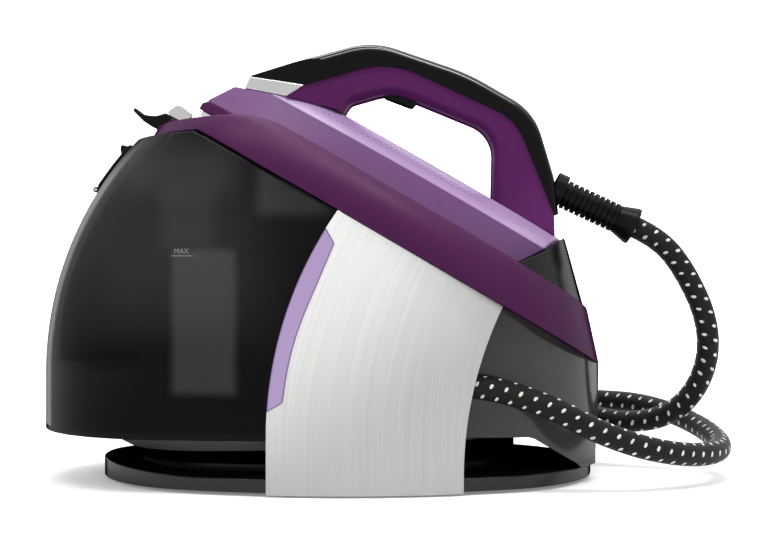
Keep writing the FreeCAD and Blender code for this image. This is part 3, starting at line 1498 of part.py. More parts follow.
make_tank_lid()
make_pin("lid_pin", LID_HINGE_X, "lid_low", "hinge_half + hinge_ear - pin_gap", radius="lid_pin_radius")
make_rest_shell()
make_rest_tray()
make_heel_stop()
make_rest_pads()
make_control_fascia()
make_button("power_button", -1)
make_button("eco_button", 1)
make_indicator_lens()
make_lock_lever()
make_lock_hook()
make_pin("lock_pin", "lever_pivot_x", "lever_pivot_z", "lever_half_width + 3", on_rest=True)
make_soleplate()
make_steam_chamber()
make_iron_skirt()
make_iron_shell()
make_handle_grip()
make_handle_cap()
make_front_collar()
make_trigger()
make_pin("trigger_pin", "trigger_pivot_x", "trigger_pivot_z", "trigger_half_width + 4", on_rest=True)
make_microswitch()
make_strain_relief()
make_steam_hose()
doc.recompute()

for thing in doc.Objects:
    if "Invalid" in thing.State or "Error" in thing.State:
        raise RuntimeError(f"{thing.Label} failed")
for body in SUB_PARTS:
    if body.Shape.isNull() or not body.Shape.isValid():
        raise RuntimeError(f"{body.Label} is not a valid solid")

os.makedirs("parts", exist_ok=True)
for body in SUB_PARTS:
    body.Shape.exportStep(f"parts/{body.Label}.step")
    solids = len(body.Shape.Solids)
    print(f"{body.Label}: {solids} solid(s), {body.Shape.Volume / 1000:.1f} cm3")
print(f"water space {doc.getObject('tank_inside').Shape.Volume / 1e6:.2f} l")
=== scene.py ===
import json
import math

import bmesh
import bpy
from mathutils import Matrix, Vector
from mathutils.bvhtree import BVHTree
from mathutils.interpolate import poly_3d_calc


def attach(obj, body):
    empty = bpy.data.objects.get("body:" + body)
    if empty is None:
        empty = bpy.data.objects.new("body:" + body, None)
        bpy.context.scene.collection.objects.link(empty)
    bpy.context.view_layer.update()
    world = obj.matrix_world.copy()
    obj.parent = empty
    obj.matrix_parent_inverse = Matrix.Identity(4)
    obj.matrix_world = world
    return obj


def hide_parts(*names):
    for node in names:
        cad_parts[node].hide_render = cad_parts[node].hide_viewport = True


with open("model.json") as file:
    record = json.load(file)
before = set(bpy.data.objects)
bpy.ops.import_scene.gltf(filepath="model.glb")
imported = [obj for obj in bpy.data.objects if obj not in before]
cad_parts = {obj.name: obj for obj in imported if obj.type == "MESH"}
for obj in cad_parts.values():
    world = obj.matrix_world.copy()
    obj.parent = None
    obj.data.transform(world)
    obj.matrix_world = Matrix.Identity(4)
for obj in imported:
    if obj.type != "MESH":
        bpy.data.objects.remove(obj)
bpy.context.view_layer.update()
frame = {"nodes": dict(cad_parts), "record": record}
NODES = frame["nodes"]

# The iron rests on a plane that slopes down towards its heel and passes REST_HEIGHT over the origin.
SLOPE = math.radians(30)
REST_HEIGHT = 0.208

# Height over that plane of the crease in which the iron shell's side turns into its roof.
CREASE = 0.038

# Millimetres in a metre.
MM = 1000


# ---------------------------------------------------------------- camera

camera = bpy.data.objects.new("camera", bpy.data.cameras.new("camera"))
bpy.context.scene.collection.objects.link(camera)
camera.data.sensor_width = 36
camera.data.lens = 66.4
camera.location = (0.044, -1.030, 0.1424)
camera.rotation_euler = (math.radians(90), 0, 0)
camera.data.clip_start = 0.05
bpy.context.scene.camera = camera


# ---------------------------------------------------------------- node helpers

def material(name, color, rough, metal=0.0, coat=0.0, **more):
    """A material and its shader, with the plain numbers set on the shader's own sockets."""
    made = bpy.data.materials.new(name)
    made.use_nodes = True
    shader = made.node_tree.nodes["Principled BSDF"]
    shader.inputs["Base Color"].default_value = (*color, 1)
    shader.inputs["Roughness"].default_value = rough
    shader.inputs["Metallic"].default_value = metal
    shader.inputs["Coat Weight"].default_value = coat
    for key, number in more.items():
        shader.inputs[key.replace("_", " ")].default_value = number
    return made, made.node_tree, shader


def node(tree, kind, **settings):
    """A new node with its settings."""
    made = tree.nodes.new(kind)
    for key, setting in settings.items():
        setattr(made, key, setting)
    return made


def link(tree, source, target):
    tree.links.new(source, target)


def math_node(tree, operation, first, second=None, third=None, clamp=False):
    """One step of arithmetic on numbers and sockets."""
    made = node(tree, "ShaderNodeMath", operation=operation, use_clamp=clamp)
    for socket, item in zip(made.inputs, (first, second, third)):
        if item is None:
            continue
        if isinstance(item, (int, float)):
            socket.default_value = item
        else:
            link(tree, item, socket)
    return made.outputs[0]


def weighted(tree, *parts):
    """The sum of values that come as (value, weight)."""
    total = None
    for value, weight in parts:
        part = math_node(tree, "MULTIPLY", value, weight)
        total = part if total is None else math_node(tree, "ADD", total, part)
    return total


def map_range(tree, value, source, target, kind="LINEAR"):
    """A value moved from the range source to the range target, and held at the target's ends."""
    made = node(tree, "ShaderNodeMapRange", interpolation_type=kind)
    for key, number in zip(("From Min", "From Max", "To Min", "To Max"), (*source, *target)):
        made.inputs[key].default_value = number
    link(tree, value, made.inputs["Value"])
    return made.outputs["Result"]


def spread(tree, value, low, high):
    """Stretches a value of about 0.3 to 0.7 over low to high."""
    return map_range(tree, value, (0.3, 0.7), (low, high))


def step_up(tree, value, start, end):
    """0 below start, 1 above end, and a smooth rise between. It falls where end is below start."""
    if start < end:
        return map_range(tree, value, (start, end), (0, 1), "SMOOTHSTEP")
    return map_range(tree, value, (end, start), (1, 0), "SMOOTHSTEP")


def place(tree, scale=(1, 1, 1)):
    """Object coordinates, scaled. They move with the piece."""
    coords = node(tree, "ShaderNodeTexCoord")
    mapping = node(tree, "ShaderNodeMapping")
    mapping.inputs["Scale"].default_value = scale
    link(tree, coords.outputs["Object"], mapping.inputs["Vector"])
    return mapping.outputs["Vector"]


def frame_axes(tree):
    """X, Y and Z of the shared frame at rest, which move with the piece."""
    coords = node(tree, "ShaderNodeTexCoord")
    split = node(tree, "ShaderNodeSeparateXYZ")
    link(tree, coords.outputs["Object"], split.inputs[0])
    return split.outputs["X"], split.outputs["Y"], split.outputs["Z"]


def rest_axes(tree):
    """Places along, across and square to the sloping rest."""
    x, y, z = frame_axes(tree)
    drop = math_node(tree, "SUBTRACT", z, REST_HEIGHT)
    along = weighted(tree, (x, math.cos(SLOPE)), (drop, -math.sin(SLOPE)))
    square = weighted(tree, (x, math.sin(SLOPE)), (drop, math.cos(SLOPE)))
    return along, y, square


def noise(tree, vector, scale, detail=3.0, rough=0.5):
    """Soft noise, mostly between 0.3 and 0.7."""
    made = node(tree, "ShaderNodeTexNoise")
    made.inputs["Scale"].default_value = scale
    made.inputs["Detail"].default_value = detail
    made.inputs["Roughness"].default_value = rough
    link(tree, vector, made.inputs["Vector"])
    return made.outputs["Fac"]


def ramp(tree, value, stops):
    """A colour from a value, by stops of (value, colour)."""
    made = node(tree, "ShaderNodeValToRGB")
    elements = made.color_ramp.elements
    while len(elements) < len(stops):
        elements.new(0.5)
    for element, (spot, color) in zip(elements, stops):
        element.position = spot
        element.color = (*color, 1)
    link(tree, value, made.inputs["Fac"])
    return made.outputs["Color"]


def blend(tree, share, first, second):
    """A mix of two colours, each given as numbers or as a socket."""
    made = node(tree, "ShaderNodeMix", data_type="RGBA")
    link(tree, share, made.inputs["Factor"])
    for socket, item in ((made.inputs["A"], first), (made.inputs["B"], second)):
        if isinstance(item, tuple):
            socket.default_value = (*item, 1)
        else:
            link(tree, item, socket)
    return made.outputs["Result"]


def edge_on(tree):
    """0 where the surface faces the eye, and 1 where it is seen edge on."""
    made = node(tree, "ShaderNodeLayerWeight")
    made.inputs["Blend"].default_value = 0.5
    return made.outputs["Facing"]


def calm_edge(tree, shader, level):
    """Gloss that fades where the surface turns away, so that dark pieces keep a dark outline."""
    gloss = map_range(tree, edge_on(tree), (0.35, 0.85), (level, 0), "SMOOTHSTEP")
    link(tree, gloss, shader.inputs["Specular IOR Level"])
    return gloss


def uneven_gloss(tree, shader, low, high, scale, detail=3.0):
    """Roughness that wanders between low and high over the surface."""
    link(tree, spread(tree, noise(tree, place(tree), scale, detail), low, high), shader.inputs["Roughness"])


def bump(tree, shader, height, strength, distance):
    """Relief from a height, of up to distance in metres."""
    made = node(tree, "ShaderNodeBump")
    made.inputs["Strength"].default_value = strength
    made.inputs["Distance"].default_value = distance
    link(tree, height, made.inputs["Height"])
    link(tree, made.outputs["Normal"], shader.inputs["Normal"])


def grained(name, color, rough, coat=0.0, grain=0.0002, scale=1400, spot=0.04, calm=0):
    """Moulded plastic: fine grain, and slight changes of colour and gloss.

    calm, where it is given, is a gloss that fades towards the outline.
    """
    made, tree, shader = material(name, color, rough, coat=coat)
    if calm:
        calm_edge(tree, shader, calm)
    vector = place(tree)
    cloud = noise(tree, vector, 30, 4)
    swing = 3 * spot
    link(tree, spread(tree, cloud, rough * (1 - swing), rough * (1 + swing)), shader.inputs["Roughness"])
    darker = [c * (1 - spot) for c in color]
    lighter = [c * (1 + spot) for c in color]
    tint = ramp(tree, cloud, [(0.3, darker), (0.7, lighter)])
    link(tree, tint, shader.inputs["Base Color"])
    if grain:
        bump(tree, shader, noise(tree, vector, scale, 2), 0.35, grain)
    return made


# ---------------------------------------------------------------- hose

# The hose is a tube of rings, HOSE_RING_STEP apart and of HOSE_AROUND points each.
HOSE_RADIUS = 0.008
HOSE_RING_STEP = 0.002
HOSE_AROUND = 40

# The route of the CAD hose in millimetres, from the strain relief to the gland.
HOSE_POINTS = [
    (225.76, 0, 178.92), (244.8, 0, 170.04), (263, 0.5, 147), (279, 1, 113), (281, 4, 81), (269, 12, 52),
    (246, 26, 34.5), (208, 48, 33), (162, 91, 51), (108, 96.1, 72.2), (30, 97.2, 72.5), (-58, 96.3, 71.5),
    (-114, 40, 71.5), (-114, -40, 71.5), (-58, -96.3, 71.5), (28, -97.2, 72.5), (104, -95.5, 72),
    (150, -97.6, 59), (192, -97, 36.5), (240, -80, 22.5), (284, -38, 19.5), (286, 28, 29), (252, 78, 43.5),
    (206, 103.5, 45), (154, 104, 43.5), (104, 96.5, 45), (54, 96.8, 46.3), (12, 96.3, 46)]


def hose_line():
    """The hose's own smooth line, as closely spaced points."""
    curve = bpy.data.curves.new("hose_line", "CURVE")
    curve.dimensions = "3D"
    spline = curve.splines.new("NURBS")
    spline.points.add(len(HOSE_POINTS) - 1)
    for point, (x, y, z) in zip(spline.points, HOSE_POINTS):
        point.co = (x / MM, y / MM, z / MM, 1)
    spline.order_u = 3
    spline.use_endpoint_u = True
    curve.resolution_u = 24
    holder = bpy.data.objects.new("hose_line", curve)
    bpy.context.scene.collection.objects.link(holder)
    mesh = bpy.data.meshes.new_from_object(holder)
    spots = [vertex.co.copy() for vertex in mesh.vertices]
    bpy.data.objects.remove(holder)
    return spots


def even(spots, step):
    """The same line with points at even distances."""
    lengths = [0.0]
    for before, after in zip(spots, spots[1:]):
        lengths.append(lengths[-1] + (after - before).length)
    count = max(2, round(lengths[-1] / step))
    result, i = [], 0
    for k in range(count + 1):
        target = lengths[-1] * k / count
        while i < len(lengths) - 2 and lengths[i + 1] < target:
            i += 1
        share = (target - lengths[i]) / max(lengths[i + 1] - lengths[i], 1e-9)
        result.append(spots[i].lerp(spots[i + 1], min(share, 1.0)))
    return result, lengths[-1]


def frames_along(spots):
    """Each spot with two directions across the line, which are carried along it without twist."""
    across = Vector((0, 1, 0))
    result = []
    for k, spot in enumerate(spots):
        along = (spots[min(k + 1, len(spots) - 1)] - spots[max(k - 1, 0)]).normalized()
        across = (across - along * across.dot(along)).normalized()
        result.append((spot, across, along.cross(across)))
    return result


def make_hose():
    """The hose as a tube, whose map runs once round it and along it in metres."""
    spots, length = even(hose_line(), HOSE_RING_STEP)
    mesh = bpy.data.meshes.new("steam_hose_braid")
    work = bmesh.new()
    turns = work.loops.layers.uv.new("UVMap")
    rings = []
    for spot, across, up in frames_along(spots):
        ring = []
        for j in range(HOSE_AROUND):
            angle = 2 * math.pi * j / HOSE_AROUND
            outward = across * math.cos(angle) + up * math.sin(angle)
            ring.append(work.verts.new(spot + outward * HOSE_RADIUS))
        rings.append(ring)
    step = length / (len(spots) - 1)
    for k in range(len(rings) - 1):
        for j in range(HOSE_AROUND):
            beside = (j + 1) % HOSE_AROUND
            corners = [rings[k][j], rings[k][beside], rings[k + 1][beside], rings[k + 1][j]]
            face = work.faces.new(corners)
            face.smooth = True
            for loop, (u, v) in zip(face.loops, ((j, k), (j + 1, k), (j + 1, k + 1), (j, k + 1))):
                loop[turns].uv = (u / HOSE_AROUND, v * step)
    for ring, flip in ((rings[0], True), (rings[-1], False)):
        face = work.faces.new(ring[::-1] if flip else ring)
        for loop in face.loops:
            loop[turns].uv = (0, 0)
    bmesh.ops.recalc_face_normals(work, faces=work.faces)
    work.to_mesh(mesh)
    work.free()
    made = bpy.data.objects.new("steam_hose_braid", mesh)
    bpy.context.scene.collection.objects.link(made)
    return made, spots, length


def braid_material():
    """Black braid of crossing strands, with short pale flecks set in staggered rows."""
    made, tree, shader = material("hose_braid", (0.008, 0.0075, 0.0075), 0.5, Specular_IOR_Level=0.1)
    uv = node(tree, "ShaderNodeUVMap", uv_map="UVMap")
    split = node(tree, "ShaderNodeSeparateXYZ")
    link(tree, uv.outputs["UV"], split.inputs[0])
    turn, run = split.outputs["X"], split.outputs["Y"]
    # Rows of flecks round the hose and their pitch along it, then strands each way and their lay.
    rows, pitch = 6, 0.0098
    strands, lay = 12, 0.0052
    # A fleck's half sizes in millimetres, and how much it leans.
    fleck_along, fleck_across, fleck_lean = 1.15, 1.9, 0.25

    def wave(direction):
        phase = math_node(tree, "ADD", math_node(tree, "MULTIPLY", turn, 2 * math.pi * strands),
                          math_node(tree, "MULTIPLY", run, direction * 2 * math.pi / lay))
        return math_node(tree, "SINE", phase)

    left, right = wave(1), wave(-1)
    over = math_node(tree, "MAXIMUM", math_node(tree, "ABSOLUTE", left), math_node(tree, "ABSOLUTE", right))
    crossing = math_node(tree, "MULTIPLY", left, right)
    row = math_node(tree, "MULTIPLY", turn, rows)
    row_index = math_node(tree, "FLOOR", row)
    row_part = math_node(tree, "SUBTRACT", math_node(tree, "FRACT", row), 0.5)
    stagger = math_node(tree, "MULTIPLY", math_node(tree, "MODULO", row_index, 2.0), 0.5)
    step_value = math_node(tree, "ADD", math_node(tree, "DIVIDE", run, pitch), stagger)
    step_part = math_node(tree, "SUBTRACT", math_node(tree, "FRACT", step_value), 0.5)
    width = 2 * math.pi * HOSE_RADIUS / rows
    across_mm = math_node(tree, "MULTIPLY", row_part, width * MM)
    along_mm = math_node(tree, "MULTIPLY", step_part, pitch * MM)
    slanted = math_node(tree, "ADD", along_mm, math_node(tree, "MULTIPLY", across_mm, fleck_lean))
    first = math_node(tree, "POWER", math_node(tree, "DIVIDE", slanted, fleck_along), 2.0)
    second = math_node(tree, "POWER", math_node(tree, "DIVIDE", across_mm, fleck_across), 2.0)
    reach = math_node(tree, "ADD", first, second)
    uneven = spread(tree, noise(tree, place(tree), 300, 2), -0.45, 0.35)
    reach = math_node(tree, "ADD", reach, uneven)
    fleck = math_node(tree, "SUBTRACT", 1.0, reach, clamp=True)
    sharp = math_node(tree, "MULTIPLY", fleck, 4.0, clamp=True)
    fibre = noise(tree, place(tree), 900, 2)
    black = ramp(tree, over, [(0.35, (0.001, 0.001, 0.001)), (1.0, (0.013, 0.012, 0.011))])
    white = ramp(tree, fibre, [(0.25, (0.42, 0.40, 0.37)), (0.7, (0.86, 0.84, 0.8))])
    link(tree, blend(tree, sharp, black, white), shader.inputs["Base Color"])
    height = weighted(tree, (over, 0.7), (crossing, 0.3), (fleck, 0.8), (fibre, 0.3))
    bump(tree, shader, height, 0.9, 0.0005)
    return made


hose, hose_spots, hose_length = make_hose()
hose.data.materials.append(braid_material())
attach(hose, "station")
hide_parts("steam_hose")


# ---------------------------------------------------------------- rounded copies of the CAD nodes

BODY_OF = {name: body for body, names in frame["record"]["behaviour"]["bodies"].items() for name in names}

# Points this near are one point, faces that meet at less than FLAT_ANGLE are one face, and an outward
# edge sharper than SHARP_ANGLE is rounded.
MERGE_REACH = 2e-6
FLAT_ANGLE = math.radians(0.05)
SHARP_ANGLE = math.radians(30)

# A corner takes its normal from a CAD face only where the two face nearly the same way, and from the
# nearer of two alike faces.
LEAST_MATCH = 0.7
DISTANCE_WEIGHT = 0.02

# A corner of a rounded face takes the normal of the plain faces beside it where these agree this well.
LEAST_AGREEMENT = 0.9


class SmoothSurface:
    """The smooth normals of a CAD node of triangles, looked up by place and facing."""

    def __init__(self, mesh):
        self.spots = [vertex.co.copy() for vertex in mesh.vertices]
        self.faces = [tuple(polygon.vertices) for polygon in mesh.polygons]
        self.loops = [polygon.loop_start for polygon in mesh.polygons]
        self.corners = [Vector(corner.vector) for corner in mesh.corner_normals]
        self.tree = BVHTree.FromPolygons(self.spots, self.faces)

    def normal_at(self, spot, facing, reach):
        """The CAD surface's normal at the spot, or the given facing where no near face matches it."""
        found = None
        best = LEAST_MATCH
        for _, normal, index, distance in self.tree.find_nearest_range(spot, reach):
            match = normal.dot(facing) - distance / reach * DISTANCE_WEIGHT
            if match > best:
                best, found = match, index
        if found is None:
            return facing
        near = poly_3d_calc([self.spots[i] for i in self.faces[found]], spot)
        start = self.loops[found]
        total = Vector((0, 0, 0))
        for share, corner in zip(near, self.corners[start:start + 3]):
            total += corner * max(share, 0)
        return total.normalized() if total.length > 1e-6 else facing


def corner_normals(work, round_faces, surface, reach):
    """A normal for each corner: the CAD surface's own on plain faces, and a smooth one on rounded faces."""
    plain = {}
    for face in work.faces:
        if face not in round_faces:
            for loop in face.loops:
                plain[loop] = surface.normal_at(loop.vert.co, face.normal, reach)
    normals = []
    for face in work.faces:
        for loop in face.loops:
            if loop in plain:
                normals.append(plain[loop])
                continue
            beside = [plain[other] for other in loop.vert.link_loops if other in plain]
            if beside and min(beside[0].dot(other) for other in beside) > LEAST_AGREEMENT:
                normals.append(sum(beside, Vector((0, 0, 0))).normalized())
            else:
                normals.append(loop.vert.normal.copy())
    return normals


def softened(name, width, segments=3):
    """A copy of a CAD node with its sharp edges rounded, which stands for the node."""
    source = NODES[name].data
    work = bmesh.new()
    work.from_mesh(source)
    bmesh.ops.remove_doubles(work, verts=work.verts, dist=MERGE_REACH)
    bmesh.ops.dissolve_limit(work, angle_limit=FLAT_ANGLE, verts=work.verts, edges=work.edges)
    sharp = [edge for edge in work.edges if edge.is_convex and edge.calc_face_angle(0) > SHARP_ANGLE]
    rounded = bmesh.ops.bevel(work, geom=sharp, offset=width, offset_type="OFFSET", segments=segments,
                              profile=0.5, affect="EDGES", clamp_overlap=False)
    work.normal_update()
    for face in work.faces:
        face.smooth = True
    normals = corner_normals(work, set(rounded["faces"]), SmoothSurface(source), 3 * width)
    mesh = bpy.data.meshes.new(name + "_rounded")
    work.to_mesh(mesh)
    work.free()
    mesh.normals_split_custom_set(normals)
    made = bpy.data.objects.new(name + "_rounded", mesh)
    bpy.context.scene.collection.objects.link(made)
    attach(made, BODY_OF[name])
    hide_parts(name)
    return made


# ---------------------------------------------------------------- materials

def dress(made, *names):
    """Gives the material to CAD nodes, named alone, or to rounded copies: (node, rounding[, segments])."""
    for name in names:
        if isinstance(name, tuple):
            piece = softened(*name)
        else:
            piece = NODES[name]
        piece.data.materials.clear()
        piece.data.materials.append(made)


def pearl(name, color, rough, gloss, flake):
    """Lacquered plastic with fine pearl flakes. Its tint and gloss come too, for paints that vary them."""
    made, tree, shader = material(name, color, rough)
    level = calm_edge(tree, shader, gloss)
    vector = place(tree)
    sparkle = noise(tree, vector, 2600, 1)
    cloud = noise(tree, vector, 18, 4)
    tint = ramp(tree, sparkle, [(0.3, [c * (1 - 0.25 * flake) for c in color]),
                                (0.75, [min(1, c * (1 + 0.5 * flake) + 0.004) for c in color])])
    link(tree, tint, shader.inputs["Base Color"])
    link(tree, spread(tree, cloud, rough * 0.85, rough * 1.15), shader.inputs["Roughness"])
    return made, tree, shader, tint, level


def shell_paint():
    """Plum lacquer of the rest, with painted shade that makes it deeper towards its tail and under side."""
    made, tree, shader, tint, _ = pearl("shell_plum", (0.055, 0.0066, 0.05), 0.42, 0.09, flake=0.35)
    along, _, square = rest_axes(tree)
    # Painted shade: the tail and the under side are blended towards a deeper plum.
    deep = math_node(tree, "MULTIPLY", step_up(tree, along, 0.06, 0.24), 0.8)
    low = math_node(tree, "MULTIPLY", step_up(tree, square, 0.012, -0.014), 0.45)
    share = math_node(tree, "MAXIMUM", deep, low)
    link(tree, blend(tree, share, tint, (0.03, 0.006, 0.031)), shader.inputs["Base Color"])
    return made


def from_whole(tree, value):
    """How far a value is from the nearest whole number."""
    return math_node(tree, "SUBTRACT", value, math_node(tree, "ROUND", value))


def iron_paint():
    """Lilac lacquer of the iron, with a fine honeycomb on its roof beside the handle."""
    made, tree, shader, tint, level = pearl("iron_lilac", (0.128, 0.059, 0.152), 0.3, 0.1, flake=0.35)
    along, across, square = rest_axes(tree)
    roof = step_up(tree, square, CREASE, CREASE + 0.0012)
    pale = blend(tree, roof, tint, (0.31, 0.205, 0.37))
    more = math_node(tree, "MULTIPLY_ADD", roof, 4.5, 1.0)
    link(tree, math_node(tree, "MULTIPLY", level, more), shader.inputs["Specular IOR Level"])
    pitch = 0.0046
    cells = []
    for shift_along, shift_across in ((0, 0), (0.5, math.sqrt(3) / 2)):
        u = math_node(tree, "ADD", math_node(tree, "DIVIDE", along, pitch), shift_along)
        v = math_node(tree, "ADD", math_node(tree, "DIVIDE", across, pitch), shift_across)
        u = from_whole(tree, u)
        v = math_node(tree, "MULTIPLY", from_whole(tree, math_node(tree, "MULTIPLY", v, 1 / math.sqrt(3))),
                      math.sqrt(3))
        squares = [math_node(tree, "POWER", part, 2.0) for part in (u, v)]
        cells.append(math_node(tree, "SQRT", math_node(tree, "ADD", *squares)))
    dot = step_up(tree, math_node(tree, "MINIMUM", *cells), 0.44, 0.36)
    area = math_node(tree, "MULTIPLY", step_up(tree, along, -0.045, -0.02), step_up(tree, along, 0.118, 0.09))
    area = math_node(tree, "MULTIPLY", area, step_up(tree, square, 0.0425, 0.0455))
    dots = math_node(tree, "MULTIPLY", dot, area)
    link(tree, blend(tree, math_node(tree, "MULTIPLY", dots, 0.6), pale, (0.19, 0.11, 0.25)),
         shader.inputs["Base Color"])
    bump(tree, shader, dots, 0.2, 0.0001)
    return made


def grip_paint():
    """Plum of the handle, with painted light that makes it lighter at its rear foot."""
    made, tree, shader, tint, _ = pearl("grip_plum", (0.07, 0.0067, 0.072), 0.32, 0.12, flake=0.2)
    along, _, square = rest_axes(tree)
    # Painted light: the rear foot is blended towards a lighter plum.
    foot = math_node(tree, "MULTIPLY", step_up(tree, along, 0.112, 0.15), step_up(tree, square, 0.1, 0.06))
    link(tree, blend(tree, math_node(tree, "MULTIPLY", foot, 0.3), tint, (0.16, 0.03, 0.17)),
         shader.inputs["Base Color"])
    return made


def panel_metal():
    """Steel brushed along the curve of the side panel, from its foot to its top."""
    made, tree, shader = material("panel_brushed", (0.72, 0.72, 0.72), 0.36, metal=0.55, Anisotropic=0.4)
    x, _, z = frame_axes(tree)
    # The strokes start upright at the foot and lean to the tail by curve times the height squared.
    foot, curve = 0.035, 2.05
    rise = math_node(tree, "MAXIMUM", math_node(tree, "SUBTRACT", z, foot), 0.0)
    bend = math_node(tree, "MULTIPLY", math_node(tree, "POWER", rise, 2.0), curve)
    level = math_node(tree, "SUBTRACT", x, bend)
    wander = noise(tree, place(tree, (6, 1, 3)), 1.0, 1)
    level = math_node(tree, "ADD", level, math_node(tree, "MULTIPLY", wander, 0.002))
    layers = []
    for fine, long, detail in ((1500, 9, 3), (420, 5, 3), (75, 2.5, 2)):
        strand = node(tree, "ShaderNodeCombineXYZ")
        link(tree, math_node(tree, "MULTIPLY", level, fine), strand.inputs["X"])
        link(tree, math_node(tree, "MULTIPLY", z, long), strand.inputs["Z"])
        layers.append(noise(tree, strand.outputs[0], 1.0, detail, 0.6))
    strokes = weighted(tree, *zip(layers, (0.45, 0.35, 0.2)))
    lines = ramp(tree, strokes, [(0.36, (0.64, 0.635, 0.63)), (0.5, (0.71, 0.705, 0.7)),
                                 (0.64, (0.78, 0.78, 0.78))])
    # Painted shade: the panel darkens from its upper left to its lower right.
    slant = weighted(tree, (x, 1.6), (z, -2.6))
    shade = math_node(tree, "MULTIPLY", step_up(tree, slant, -0.42, -0.02), 0.47)
    link(tree, blend(tree, shade, lines, (0, 0, 0)), shader.inputs["Base Color"])
    link(tree, spread(tree, layers[1], 0.28, 0.44), shader.inputs["Roughness"])
    bump(tree, shader, layers[0], 0.18, 0.00006)
    return made


def outlined(name, color, edge_color, width):
    """Printed foil with a thin darker line along its edges."""
    made, tree, shader = material(name, color, 0.32)
    geometry = node(tree, "ShaderNodeNewGeometry")
    bevel = node(tree, "ShaderNodeBevel", samples=6)
    bevel.inputs["Radius"].default_value = width
    turn = node(tree, "ShaderNodeVectorMath", operation="DOT_PRODUCT")
    link(tree, geometry.outputs["Normal"], turn.inputs[0])
    link(tree, bevel.outputs["Normal"], turn.inputs[1])
    edge = step_up(tree, turn.outputs["Value"], 0.9995, 0.99)
    link(tree, blend(tree, edge, color, edge_color), shader.inputs["Base Color"])
    return made


def foot_black():
    """Gloss black of the base, with painted shade in the recess above the tray: darker there, and dull."""
    made, tree, shader = material("black_base", (0.005, 0.005, 0.0052), 0.16)
    _, _, z = frame_axes(tree)
    # Painted shade: above the tray, in the recess, the colour is darker and the gloss is taken away.
    tray = step_up(tree, z, 0.0165, 0.0145)
    level = calm_edge(tree, shader, 0.3)
    link(tree, math_node(tree, "MULTIPLY", tray, level), shader.inputs["Specular IOR Level"])
    link(tree, blend(tree, tray, (0.001, 0.001, 0.001), (0.005, 0.005, 0.0052)), shader.inputs["Base Color"])
    uneven_gloss(tree, shader, 0.13, 0.19, 30, 4)
    return made


def gloss_black():
    """Polished black, dull on its upright faces and bright where it turns up to the light."""
    made, tree, shader = material("black_gloss", (0.002, 0.002, 0.0021), 0.14)
    geometry = node(tree, "ShaderNodeNewGeometry")
    split = node(tree, "ShaderNodeSeparateXYZ")
    link(tree, geometry.outputs["Normal"], split.inputs[0])
    more = math_node(tree, "MULTIPLY_ADD", step_up(tree, split.outputs["Z"], 0.15, 0.5), 3.5, 1.0)
    level = calm_edge(tree, shader, 0.1)
    link(tree, math_node(tree, "MULTIPLY", level, more), shader.inputs["Specular IOR Level"])
    uneven_gloss(tree, shader, 0.11, 0.17, 30, 4)
    return made


def sole_metal():
    """Glazed soleplate with long polishing marks."""
    made, tree, shader = material("soleplate_polish", (0.62, 0.62, 0.65), 0.2, metal=1.0)
    marks = noise(tree, place(tree, (20, 900, 20)), 1.0, 3)
    link(tree, spread(tree, marks, 0.14, 0.3), shader.inputs["Roughness"])
    bump(tree, shader, marks, 0.15, 0.00005)
    return made


def zone(tree, x, z, left, right, low, high, soft):
    """1 inside a block of painted light, where inner parts show through the wall of the tank, with soft
    edges, in millimetres.
    """
    parts = [step_up(tree, x, left - soft, left + soft), step_up(tree, x, right + soft, right - soft),
             step_up(tree, z, low - soft, low + soft), step_up(tree, z, high + soft, high - soft)]
    result = parts[0]
    for part in parts[1:]:
        result = math_node(tree, "MULTIPLY", result, part)
    return result


# Blocks of painted light and shade that stand for inner parts showing through the wall of the tank, in
# millimetres of the frame: left, right, low, high, the softness of their edges, and how much brighter they
# are than TANK_LEVEL.
TANK_ZONES = [
    (-92, -50, 68, 162, 4, 0.024), (-100, -66, 162, 204, 9, 0.01), (-36, 14, 186, 222, 6, 0.022),
    (-150, -40, 120, 200, 30, 0.013), (-130, -50, 200, 232, 16, 0.018), (-175, 30, 30, 100, 14, -0.004)]
TANK_LEVEL = 0.0055


def smoked_tank():
    """Smoked clear plastic: near black, with painted light where its inner walls show through, and a painted
    pale rim where it is seen edge on.
    """
    made, tree, shader = material("tank_smoke", (0.01, 0.01, 0.01), 0.07)
    calm_edge(tree, shader, 0.045)
    x, _, z = frame_axes(tree)
    wander = noise(tree, place(tree), 24, 2)
    x = weighted(tree, (x, MM), (wander, 5))
    z = weighted(tree, (z, MM), (wander, 4))
    # Painted light and shade of the inner parts seen through the wall.
    inner = weighted(tree, *((zone(tree, x, z, *edges), gain) for *edges, gain in TANK_ZONES))
    level = math_node(tree, "ADD", inner, TANK_LEVEL)
    # Painted light: a pale rim that follows the angle of view. It slides from view to view, and the exported
    # model loses it.
    rim = math_node(tree, "MULTIPLY", step_up(tree, edge_on(tree), 0.7, 0.8), 0.15)
    rim = math_node(tree, "MULTIPLY", rim, step_up(tree, z, 244, 205))
    level = math_node(tree, "ADD", level, rim)
    shade = node(tree, "ShaderNodeCombineXYZ")
    for socket in shade.inputs:
        link(tree, level, socket)
    low_band = step_up(tree, z, 42.5, 40.5)
    link(tree, blend(tree, low_band, shade.outputs[0], (0.004, 0.004, 0.004)), shader.inputs["Base Color"])
    uneven_gloss(tree, shader, 0.05, 0.1, 40)
    return made


def satin_chrome():
    """Satin chrome, a little uneven in its gloss."""
    made, tree, shader = material("satin_chrome", (0.52, 0.52, 0.52), 0.24, metal=1.0)
    uneven_gloss(tree, shader, 0.2, 0.3, 60)
    return made


